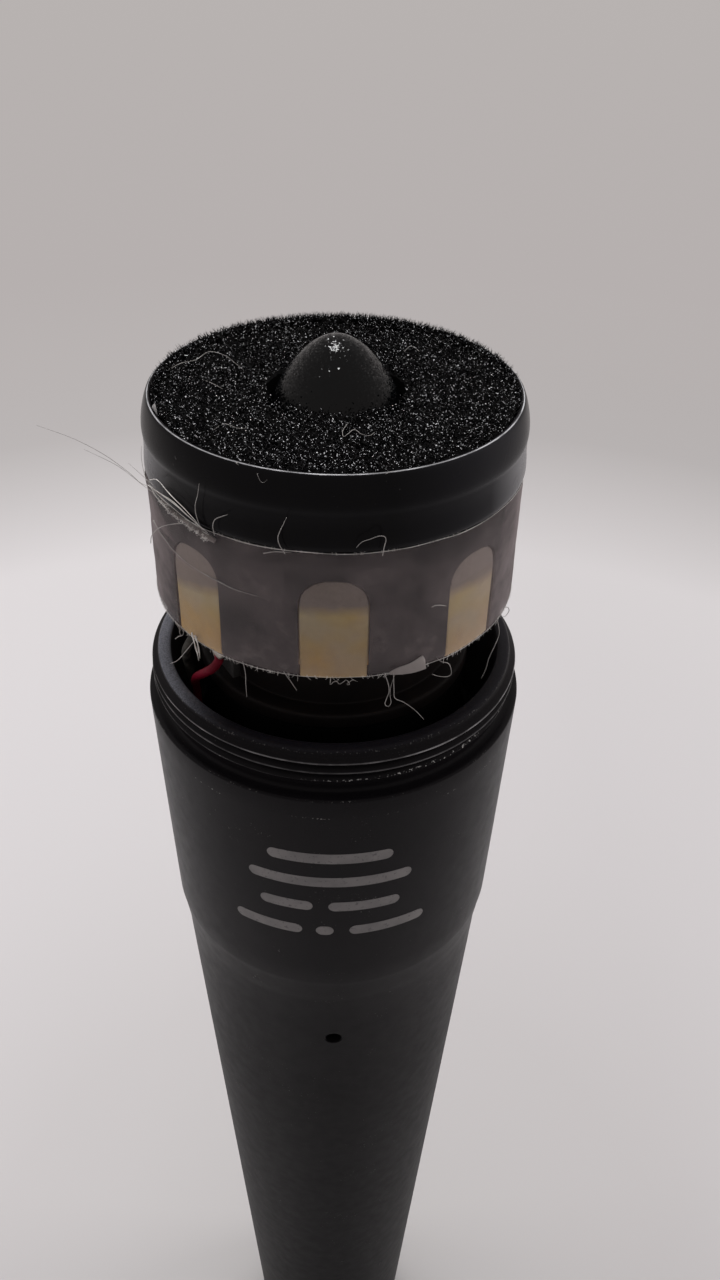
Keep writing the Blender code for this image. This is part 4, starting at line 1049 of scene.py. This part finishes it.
def build_top():
    foot, top = PLATE
    outline = [(4.3, foot), (15.21, foot), (15.21, top), (6.06, top), (5.88, 174.96)]
    for k in range(1, 41):
        a = math.pi / 2 * k / 40
        outline.append((DOME_R * math.cos(a) ** 1.1 if k < 40 else 0.0, top + DOME_RISE * math.sin(a) ** 1.7))
    for k in range(12, -1, -1):
        a = math.pi / 2 * k / 12
        outline.append((4.3 * math.cos(a) if k < 12 else 0.0, top + 5.5 * math.sin(a)))
    holes = [ring_hole(1.2, 10.5, 45 * k, 173.0, 176.0) for k in range(8)]
    plate = lathe("dome_plate", outline, dome_material(), 128, cut=holes)
    piece(plate, "dome_plastic", "resonator_plate")

    profile = [(16.35, 170.78), (16.5, 170.8), (16.6, 170.88), (16.645, 171.0), (16.64, 171.3),
               (16.60, 171.8), (16.54, 172.4), (16.51, 172.9), (16.505, 173.4), (16.51, 173.8),
               (16.515, 174.0), (16.545, 174.15), (16.56, 174.3), (16.563, 174.6), (16.53, 175.0),
               (16.45, 175.5), (16.33, 176.0), (16.2, 176.45), (16.08, 176.75), (16.0, 176.92),
               (15.9, 177.03), (15.78, 177.08), (15.66, 177.07), (15.58, 177.0), (15.53, 176.85),
               (15.51, 176.5), (15.51, 170.78)]
    ring = lathe("gloss_ring", profile, gloss_material(), 256, angle=50)
    piece(ring, "cap_plastic", "cap_ring")


def foam_net(rng, spacing, inner, outer):
    """Pairs of points of an irregular net, as the cell walls of open foam make it."""
    points = []
    rows = int(outer * 2 / (spacing * 0.866)) + 2
    for row in range(-rows // 2, rows // 2 + 1):
        for column in range(-rows // 2, rows // 2 + 1):
            x = (column + 0.5 * (row % 2)) * spacing + rng.normal(0, spacing * 0.17)
            y = row * spacing * 0.866 + rng.normal(0, spacing * 0.17)
            if inner - spacing * 0.6 < math.hypot(x, y) < outer + spacing * 0.6:
                points.append(Vector((x, y)))
    flat, _, faces, *_ = delaunay_2d_cdt(points, [], [], 0, 1e-7)
    centres = []
    sides = {}
    for number, face in enumerate(faces):
        centres.append(sum((flat[i] for i in face), Vector((0, 0))) / len(face))
        for a, b in zip(face, face[1:] + face[:1]):
            sides.setdefault((min(a, b), max(a, b)), []).append(number)
    keep = [inner < c.length < outer for c in centres]
    pairs = [p for p in sides.values() if len(p) == 2 and keep[p[0]] and keep[p[1]]
             and (centres[p[0]] - centres[p[1]]).length < spacing * 1.5]
    return centres, keep, pairs


def add_cells(build, rng):
    """Two layers of cell walls, curved and bristled in the upper one, straight in the lower one."""
    upper, lower = (0.50, FOAM_Z, 0.044, 5.9), (0.70, 176.6, 0.070, 6.0)
    for spacing, level, thick, inner in (upper, lower):
        on_top = level == FOAM_Z
        centres, keep, pairs = foam_net(rng, spacing, inner, FOAM_R)
        heights = [level + rng.normal(0, 0.14) for _ in centres]
        for a, b in pairs:
            p = Vector((*centres[a], heights[a]))
            q = Vector((*centres[b], heights[b]))
            if on_top:
                middle = (p + q) / 2 + Vector(rng.normal(0, 0.08, 3))
                strut(build, (p, middle, q), (thick * 1.3, thick * 0.8, thick * 1.3), rng.uniform(0, 2))
            else:
                strut(build, (p, q), (thick, thick), rng.uniform(0, 2))
        for number, centre in enumerate(centres):
            if on_top and keep[number] and rng.random() < 0.9:
                foot = Vector((*centre, heights[number] - 0.05))
                tip = foot + Vector((rng.normal(0, 0.12), rng.normal(0, 0.12), rng.uniform(0.12, 0.34)))
                spike(build, foot, tip, 0.05)


def build_foam():
    rng = np.random.default_rng(FOAM_SEED)
    build = Mesh()
    add_cells(build, rng)
    for _ in range(BRISTLES):
        azimuth = rng.normal(180, 44)
        foot = polar(rng.uniform(15.0, 15.44), azimuth, 177.08)
        tip = polar(rng.uniform(15.2, 15.85), azimuth + rng.normal(0, 1.2), rng.uniform(177.4, 177.75))
        spike(build, foot, tip, 0.06)
    strut_count = len(build.faces)

    # The closed body below the cells: an uneven top and a flat foot
    start = len(build.verts)
    turn = 200
    inner, outer = FOAM_WALL_R
    for k in range(16):
        for i in range(turn):
            p = polar(inner + (outer - inner) * k / 15, 360 * i / turn, 176.3)
            p.z += 0.22 * noise.noise(p * 2.4)
            build.verts.append(p)
    for r in (outer, inner):
        build.verts += [polar(r, 360 * i / turn, 175.25) for i in range(turn)]
    build.grid(start, 18, turn, wrap=True)
    walls = foam_material("black_foam", (3, 3, 4), (8, 7, 8), (20, 19, 20), 0.9)
    struts = foam_material("foam_struts", (3, 3, 4), (9, 8, 9), (244, 242, 244), 0.24)
    foam = build.make("foam_cells", [struts, walls], 60, recalc=True)
    index = np.zeros(len(foam.data.polygons), dtype=np.int32)
    index[strut_count:] = 1
    foam.data.polygons.foreach_set("material_index", index)
    piece(foam, "black_foam", "foam_disk")


def strut(build, points, radii, turn):
    """A three-sided rod through two or three points, straight between them."""
    along = (points[-1] - points[0]).normalized()
    side = along.orthogonal().normalized()
    up = along.cross(side)
    base = len(build.verts)
    for p, r in zip(points, radii):
        for k in range(3):
            a = turn + 2 * math.pi * k / 3
            build.verts.append(p + side * (r * math.cos(a)) + up * (r * math.sin(a)))
    build.grid(base, len(points), 3)
    build.faces.append((base + 2, base + 1, base))
    build.faces.append((len(build.verts) - 3, len(build.verts) - 2, len(build.verts) - 1))


def spike(build, foot, tip, radius):
    """A three-sided bristle with a sharp tip."""
    base = len(build.verts)
    for k in range(3):
        a = 2 * math.pi * k / 3
        build.verts.append(foot + Vector((radius * math.cos(a), radius * math.sin(a), 0)))
    build.verts.append(tip)
    build.faces += [(base, base + 1, base + 3), (base + 1, base + 2, base + 3), (base + 2, base, base + 3),
                    (base + 2, base + 1, base)]


# Screen cloth and its loose fibres

# Azimuth and height
PULLED_THREAD = [(-66.8, 167.18), (-56.3, 167.15), (-49.6, 166.7), (-40.0, 166.4), (-31.8, 166.3),
                 (-27.2, 166.1), (-22.2, 166.0), (-19.5, 166.0)]


def thread_line(azimuth):
    """Height of the pulled thread at an azimuth."""
    for (a, za), (b, zb) in zip(PULLED_THREAD, PULLED_THREAD[1:]):
        if a <= azimuth <= b:
            return za + (zb - za) * (azimuth - a) / (b - a)
    return None


def cloth_radius(azimuth, z):
    """Radius of the cloth's surface: a cone with sags at the windows, ripples and one crease."""
    share = (z - SCREEN[0]) / (SCREEN[1] - SCREEN[0])
    r = SCREEN_R[0] + (SCREEN_R[1] - SCREEN_R[0]) * share - 0.02
    wrapped = (azimuth + 180) % 360 - 180
    off = math.radians(from_port(wrapped)) * 16.6
    if z < 168.2:
        r -= 0.06 * (1.0 - smoothstep(1.6, 3.0, off)) * (1.0 - smoothstep(165.0, 168.2, z))
    p = polar(3.0, azimuth, z * 0.28)
    r += 0.04 * noise.noise(p * 1.3) + 0.02 * noise.noise(p * 4.1 + Vector((7, 0, 0)))
    line = thread_line(wrapped)
    if line is not None:
        fade = smoothstep(-70, -60, wrapped) * (1 - smoothstep(-30, -19, wrapped))
        r += 0.14 * fade * math.exp(-((z - line) / 0.22) ** 2)
        r += 0.10 * fade * smoothstep(line - 0.1, line + 1.2, z) * (1 - smoothstep(line + 1.2, line + 4, z))
    lift = smoothstep(169.0, 170.5, z) * smoothstep(-92, -64, wrapped) * (1 - smoothstep(-44, -30, wrapped))
    r += 0.22 * lift * (0.6 + 0.4 * math.sin(wrapped * 0.5))
    corner = math.exp(-((wrapped - 24.0) / 5.0) ** 2) * (1 - smoothstep(158.9, 160.4, z))
    return r + 0.12 * corner


def edge_height(azimuth, top):
    """Height of the cloth's cut edge, which is slightly wavy."""
    wave = noise.noise(polar(2.0, azimuth, 0.0) * 2.0 + Vector((0, 0, 5.0 if top else 0.0)))
    return (SCREEN[1] + 0.27 if top else SCREEN[0]) + 0.1 * wave


def build_screen():
    columns, rows = 840, 40
    build = Mesh()
    for i in range(columns + 1):
        azimuth = SCREEN_START + SCREEN_SWEEP * i / columns
        lap = 0.16 * smoothstep(0.93, 0.96, i / columns)
        low, high = edge_height(azimuth, False), edge_height(azimuth, True)
        for j in range(rows + 1):
            z = low + (high - low) * j / rows
            build.verts.append(polar(cloth_radius(azimuth, z) + lap, azimuth, z))
    build.grid(0, columns + 1, rows + 1, around=False, flip=True)
    cloth = cloth_material("screen_cloth", 0.60, (102, 89, 89), (164, 148, 147))
    screen = piece(build.make("screen_cloth", cloth), "screen_cloth", "screen_tape")
    fibre = fibre_material("loose_fibre", (128, 122, 118), (178, 172, 167))
    bright = fibre_material("pale_fibre", (186, 180, 174), (236, 230, 224))
    rng = random.Random(FIBRE_SEED)
    corner, twisted = build_corner(), build_roll()
    fibres = [build_hairs(fibre), build_tuft(rng, bright), build_fray(rng, bright), build_chips()]


def build_corner():
    """The corner folded up at the foot, two layers thick."""
    pale = cloth_material("cloth_fold", 0.0, (120, 110, 107), (156, 147, 143))
    fold = Mesh()
    columns, rows = 26, 6
    for i in range(columns + 1):
        t = i / columns
        azimuth = 17.6 + 10.9 * t
        top = 158.86 + 1.0 * t ** 0.8 + 0.05 * math.sin(9 * t)
        if t > 0.93:
            top -= (t - 0.93) * 7
        low = 158.6 - 0.1 * math.sin(math.pi * t)
        for j in range(rows + 1):
            s = j / rows
            lift = 0.08 + 0.3 * t * (1 - s)
            fold.verts.append(polar(cloth_radius(azimuth, 159.0) + lift, azimuth, low + (top - low) * s))
    count = len(fold.verts)
    fold.verts += [v - Vector((v.x, v.y, 0)).normalized() * 0.07 for v in fold.verts]
    fold.grid(0, columns + 1, rows + 1, around=False, flip=True)
    fold.grid(count, columns + 1, rows + 1, around=False)
    border = list(range(rows + 1))
    border += [i * (rows + 1) + rows for i in range(1, columns + 1)]
    border += [columns * (rows + 1) + j for j in range(rows - 1, -1, -1)]
    border += [i * (rows + 1) for i in range(columns - 1, 0, -1)]
    for a, b in zip(border, border[1:] + border[:1]):
        fold.faces.append((a, b, b + count, a + count))
    return piece(fold.make("cloth_corner", pale, 60, recalc=True), "screen_cloth")


def build_roll():
    """The edge rolled up between the left and the front."""
    grey = cloth_material("cloth_roll", 0.0, (98, 88, 84), (150, 140, 136))
    roll = Mesh()
    route = [(-58, 171.9, 0.4), (-54.6, 171.72, 0.45), (-50.8, 171.42, 0.5), (-47.4, 171.22, 0.5),
             (-43.9, 171.02, 0.5), (-41.1, 170.9, 0.5), (-38.4, 170.72, 0.45), (-35.9, 170.5, 0.4),
             (-33.9, 170.3, 0.3), (-32.2, 170.1, 0.2)]
    points = spline([polar(cloth_radius(a, 170.0) + lift, a, z) for a, z, lift in route], 0.16)
    roll.tube(points, 0.19, 12, end=0.3, start=0.04, flat=0.6, turns=1.2)
    return piece(roll.make("cloth_roll", grey, 60, recalc=True), "screen_cloth")


# Loose fibres, each as its route in millimetres, traced from the photo where it shows them
HAIRS = {
    "top_a": [(-10.0, -13.7, 170.7), (-10.2, -13.6, 171.3), (-10.4, -13.4, 172.0), (-10.4, -13.4, 172.8),
              (-10.1, -13.6, 173.9), (-9.9, -13.8, 174.9)],
    "top_b": [(-8.9, -14.5, 170.8), (-9.0, -14.4, 171.6), (-8.8, -14.5, 172.2), (-8.3, -14.9, 172.7),
              (-7.7, -15.2, 173.1)],
    "top_c": [(-3.3, -16.7, 170.7), (-3.7, -16.7, 171.5), (-3.8, -16.7, 172.1), (-3.6, -16.8, 172.8),
              (-3.3, -16.9, 173.5), (-3.1, -16.9, 174.0)],
    "top_c2": [(-5.0, -16.1, 170.3), (-4.1, -16.3, 170.6), (-3.3, -16.55, 170.75), (-2.8, -16.6, 170.8)],
    "top_d": [(4.1, -16.6, 170.7), (4.2, -16.7, 171.6), (4.3, -16.75, 172.2), (4.2, -16.8, 172.5),
              (3.8, -16.9, 172.6), (3.1, -16.9, 172.3), (2.5, -17.0, 172.1), (2.1, -17.0, 171.6)],
    "loop_r": [(9.0, -14.1, 159.1), (9.4, -14.4, 158.9), (10.1, -13.9, 158.3), (10.4, -13.7, 157.5),
               (10.4, -13.7, 156.9), (9.9, -14.1, 157.0), (9.2, -14.5, 157.4), (8.7, -14.9, 157.9)],
    "long_r": [(14.6, -8.2, 159.2), (15.1, -7.6, 156.8), (14.7, -8.4, 156.1), (14.2, -9.1, 155.2),
               (14.0, -9.4, 154.2), (13.6, -10.0, 153.6)],
    "tuft_r": [(15.3, -6.9, 159.3), (15.8, -6.3, 158.9), (16.0, -6.0, 158.3), (15.6, -6.7, 158.2),
               (15.3, -7.4, 158.7)],
    "loop_m": [(4.6, -16.1, 158.9), (4.9, -16.3, 158.2), (5.1, -16.2, 157.0), (4.9, -16.3, 156.2),
               (4.8, -16.3, 155.6), (5.1, -16.2, 155.3), (5.3, -16.2, 155.7), (5.2, -16.2, 156.5),
               (5.2, -16.2, 157.3), (5.5, -16.0, 158.6)],
    "long_m": [(5.4, -15.9, 158.8), (5.5, -16.1, 157.1), (5.6, -16.1, 156.2), (6.4, -15.7, 155.4),
               (7.3, -15.4, 154.4), (7.8, -15.1, 153.6), (8.3, -14.9, 152.8)],
    "curl_m": [(0.2, -16.7, 158.7), (0.2, -16.8, 158.0), (0.5, -16.8, 158.4), (0.8, -16.85, 158.4),
               (0.9, -16.8, 158.1), (1.3, -16.8, 158.4), (1.5, -16.8, 158.6), (1.8, -16.8, 158.1),
               (1.5, -16.8, 158.1), (2.1, -16.7, 158.6)],
    "hang_a": [(-7.2, -15.2, 159.0), (-7.0, -15.4, 157.9), (-7.0, -15.5, 156.9), (-7.0, -15.4, 155.3)],
    "hang_b": [(-3.7, -16.3, 158.9), (-3.1, -16.7, 158.2), (-2.6, -16.8, 157.3)],
    "hang_c": [(-11.4, -12.0, 159.0), (-12.9, -11.0, 156.4), (-13.7, -10.1, 154.9), (-14.9, -8.2, 152.9)],
    "small_a": [(-13.2, -10.1, 158.9), (-13.2, -10.6, 158.3), (-13.0, -10.8, 158.1)],
    "small_b": [(-13.8, -9.9, 157.1), (-13.4, -10.3, 157.7), (-12.9, -10.7, 158.2), (-12.8, -10.6, 158.8)],
    "hook": [(-15.6, -7.3, 165.4), (-15.2, -8.4, 166.8), (-14.0, -10.5, 168.9), (-12.8, -11.9, 170.1),
             (-11.6, -12.9, 170.8), (-10.7, -13.4, 170.9)],
    "tail_a": [(-14.6, -8.6, 171.6), (-15.6, -7.8, 171.4), (-17.1, -6.0, 171.5), (-18.9, -5.4, 172.6),
               (-21.0, -6.3, 174.5), (-23.5, -7.9, 176.5)],
    "tail_b": [(-14.6, -8.5, 171.0), (-15.6, -7.4, 171.0), (-18.0, -5.6, 171.8), (-20.4, -6.4, 173.7)],
    "tail_c": [(-14.6, -8.3, 171.6), (-15.8, -6.6, 171.5), (-17.2, -5.2, 171.9)],
    "tail_d": [(-14.9, -7.9, 171.2), (-15.7, -6.2, 171.3), (-16.1, -5.0, 172.2), (-15.9, -5.4, 173.6)],
    "foam_a": [(-14.6, 1.5, 177.2), (-13.6, 2.5, 177.5), (-12.4, 3.5, 177.45), (-11.4, 5.3, 177.5),
               (-10.0, 4.6, 177.5), (-8.9, 3.1, 177.45), (-8.0, 2.0, 177.2)],
    "foam_b": [(-11.2, -0.1, 177.2), (-10.3, -1.2, 177.4), (-9.3, -1.9, 177.2)],
    "foam_c": [(5.8, 7.1, 177.2), (6.5, 7.8, 177.5), (7.3, 7.2, 177.2)],
    "foam_d": [(1.1, -8.0, 177.3), (0.8, -9.8, 177.55), (0.9, -10.7, 177.55), (1.2, -10.2, 177.55),
               (1.7, -9.4, 177.55), (2.3, -10.2, 177.55), (2.8, -10.4, 177.55), (3.3, -9.2, 177.3)],
    "foam_e": [(-9.3, -9.3, 177.1), (-8.5, -8.7, 177.4), (-7.3, -9.4, 177.4), (-6.7, -8.9, 177.2)],
    "rim_a": [(-6.7, -14.2, 177.0), (-6.9, -14.7, 177.25), (-6.7, -14.9, 177.15)],
    "rim_b": [(4.6, -15.1, 177.0), (4.4, -15.5, 177.25), (4.1, -15.7, 177.15)],
    "cap_hair": [(-5.3, -15.4, 176.8), (-5.1, -15.7, 176.4), (-4.9, -15.75, 176.2), (-4.5, -15.8, 176.5)],
}
# The twisted bundle over the rolled edge
BUNDLE = [
    [(-14.8, -8.5, 172.2), (-13.8, -10.2, 173.1), (-12.6, -11.7, 172.7), (-11.3, -12.9, 172.1),
     (-10.5, -13.5, 171.5), (-9.9, -13.7, 170.7)],
    [(-15.1, -8.1, 171.5), (-13.8, -10.2, 172.0), (-12.3, -11.9, 172.1), (-11.2, -13.0, 171.7),
     (-10.2, -13.7, 171.2), (-9.5, -14.0, 170.7)],
    [(-14.9, -8.2, 171.4), (-13.8, -10.2, 171.2), (-12.7, -11.5, 170.9), (-11.6, -12.6, 170.8),
     (-10.9, -13.2, 170.8), (-9.4, -14.1, 170.6)],
]
# Radius of a fibre, and of the kinds that are finer
HAIR_R = 0.034
FINE_HAIRS = {"cap": 0.012, "tail": 0.022, "foam": 0.022, "rim": 0.022}
# Two short strips of cloth that hang at the foot
THICK = [[(-11.9, -11.8, 159.3), (-11.7, -12.1, 158.4), (-11.5, -12.3, 157.5), (-11.4, -12.4, 156.7)],
         [(-11.6, -12.0, 159.2), (-11.35, -12.4, 158.4), (-11.3, -12.4, 157.5), (-11.3, -12.35, 156.9)]]


def build_hairs(fibre):
    """The traced fibres and the pulled thread across the cloth."""
    hairs = Mesh()
    for name, route in HAIRS.items():
        thin = FINE_HAIRS.get(name.split("_")[0], HAIR_R)
        hairs.tube(spline(route, 0.22), thin, 5, end=thin * 0.5)
    pulled = spline([polar(cloth_radius(a, z) + 0.03, a, z) for a, z in PULLED_THREAD], 0.3)
    hairs.tube(pulled, 0.014, 6, end=0.02, start=0.07)
    hairs.tube(pulled[-22:-3], 0.055, 6, end=0.012, start=0.012)
    return piece(hairs.make("loose_hairs", fibre, recalc=True), "screen_cloth")


def build_tuft(rng, bright):
    """The twisted bundle with two long hairs and fine curls, and the strips at the foot."""
    tuft = Mesh()
    for route in BUNDLE:
        tuft.tube(spline(route, 0.22), 0.036, 5, end=0.026)
    for route in THICK:
        tuft.tube(spline(route, 0.2), 0.09, 7, end=0.03, flat=0.6, turns=1.0)
    for k in range(2):
        bulge = 0.45 + 0.45 * k
        low, high = rng.uniform(-62, -59), rng.uniform(-40, -34)
        route = []
        for i in range(6):
            t = i / 5
            height = 171.5 - 0.6 * t + bulge * math.sin(math.pi * t) + rng.uniform(-0.05, 0.05)
            route.append(polar(17.0 + 0.2 * math.sin(math.pi * t), low + (high - low) * t, height))
        tuft.tube(spline(route, 0.25), 0.028, 4, end=0.018)
    for _ in range(CURLS):
        t = rng.random()
        middle = polar(17.32 + rng.uniform(-0.05, 0.12), -53 + 20 * t, 171.6 - 1.2 * t + rng.gauss(0, 0.08))
        offs = [Vector([rng.uniform(-0.17, 0.17) for _ in range(3)]) for _ in range(4)]
        tuft.tube(spline([middle + off for off in offs], 0.07), 0.013, 3)
    return piece(tuft.make("frayed_tuft", bright, recalc=True), "screen_cloth")


def build_fray(rng, bright):
    """Threads along both cut edges, the short fibres that stand out of them and one snag."""
    edge = Mesh()
    for loop, top, inset in ((0, False, 0.02), (0, True, -0.04), (1, True, -0.04)):
        points = []
        for i in range(361):
            azimuth = SCREEN_START + i
            z = edge_height(azimuth, top) + 0.05 * noise.noise(polar(5.0 + loop, azimuth))
            points.append(polar(cloth_radius(azimuth, min(z, LOOSE_TOP)) + 0.03, azimuth, z + inset))
        edge.tube(points, 0.02, 4)
    for top, count, low, high in ((False, FOOT_FIBRES, 0.08, 0.32), (True, TOP_FIBRES, 0.05, 0.2)):
        for _ in range(count):
            azimuth = rng.uniform(-180, 180)
            z = edge_height(azimuth, top)
            length = rng.uniform(low, high) * (1.8 if rng.random() < 0.08 else 1.0)
            sign = 1 if top else -1
            r = cloth_radius(azimuth, min(z, LOOSE_TOP))
            tilt, out = rng.uniform(-2.0, 2.0) * length, rng.uniform(-0.1, 0.5) * length
            route = [polar(r, azimuth, z - sign * 0.15),
                     polar(r + out * 0.4, azimuth + tilt * 0.8, z + sign * length * 0.5),
                     polar(r + out, azimuth + tilt * 2.2, z + sign * length)]
            edge.tube(route, 0.016, 3, end=0.009)
    snag = ((29.8, 164.5), (31.0, 164.55), (32.8, 164.4), (34.9, 164.1))
    snag = [polar(cloth_radius(a, z) + 0.03, a, z) for a, z in snag]
    edge.tube(spline(snag, 0.15), 0.024, 4, end=0.012)
    return piece(edge.make("edge_fray", bright, recalc=True), "screen_cloth")


def build_chips():
    """Two chips of lint on the cap's lip."""
    flake = Mesh()
    for part in (((-69.6, 176.95), (-68.6, 177.35), (-67.2, 177.3), (-66.0, 177.2), (-65.0, 176.95)),
                 ((114.0, 177.0), (115.2, 177.3), (116.4, 177.05))):
        points = [polar(15.55, a, z) for a, z in part]
        flake.tube(spline(points, 0.15), 0.26, 8, end=0.08, start=0.1, flat=0.5, turns=0.3)
    chip = fibre_material("rim_chip", (92, 88, 88), (128, 124, 122))
    return piece(flake.make("rim_chips", chip, recalc=True), "screen_cloth")


def dress_inner_nodes():
    """Materials for the solids that stay as the CAD has them."""
    nodes = frame["nodes"]
    steel = metal("magnet_steel", (130, 130, 134), (170, 170, 172), (0.3, 0.45))
    for name, material in (
            ("magnet", metal("magnet_alloy", (92, 92, 96), (120, 120, 122), (0.4, 0.6))),
            ("pole_piece", steel), ("yoke", steel), ("voice_coil", coil_material()),
            ("diaphragm", plastic("film", (190, 194, 200), (210, 214, 220), (0.2, 0.35))),
            ("clamp_ring", plastic("clamp_plastic", (70, 70, 70), (92, 92, 92), (0.5, 0.65)))):
        nodes[name].data.materials.clear()
        nodes[name].data.materials.append(material)


build_camera()
build_stage()
build_handle()
build_print()
build_insert()
build_contacts()
build_screw()
build_mount()
build_chamber()
build_board()
tin = metal("solder_tin", (132, 126, 118), (186, 180, 170), (0.34, 0.5), (1.0, 1.0, 1.0))
build_solder(tin)
build_leads(tin)
build_cup()
build_top()
build_foam()
build_screen()
dress_inner_nodes()
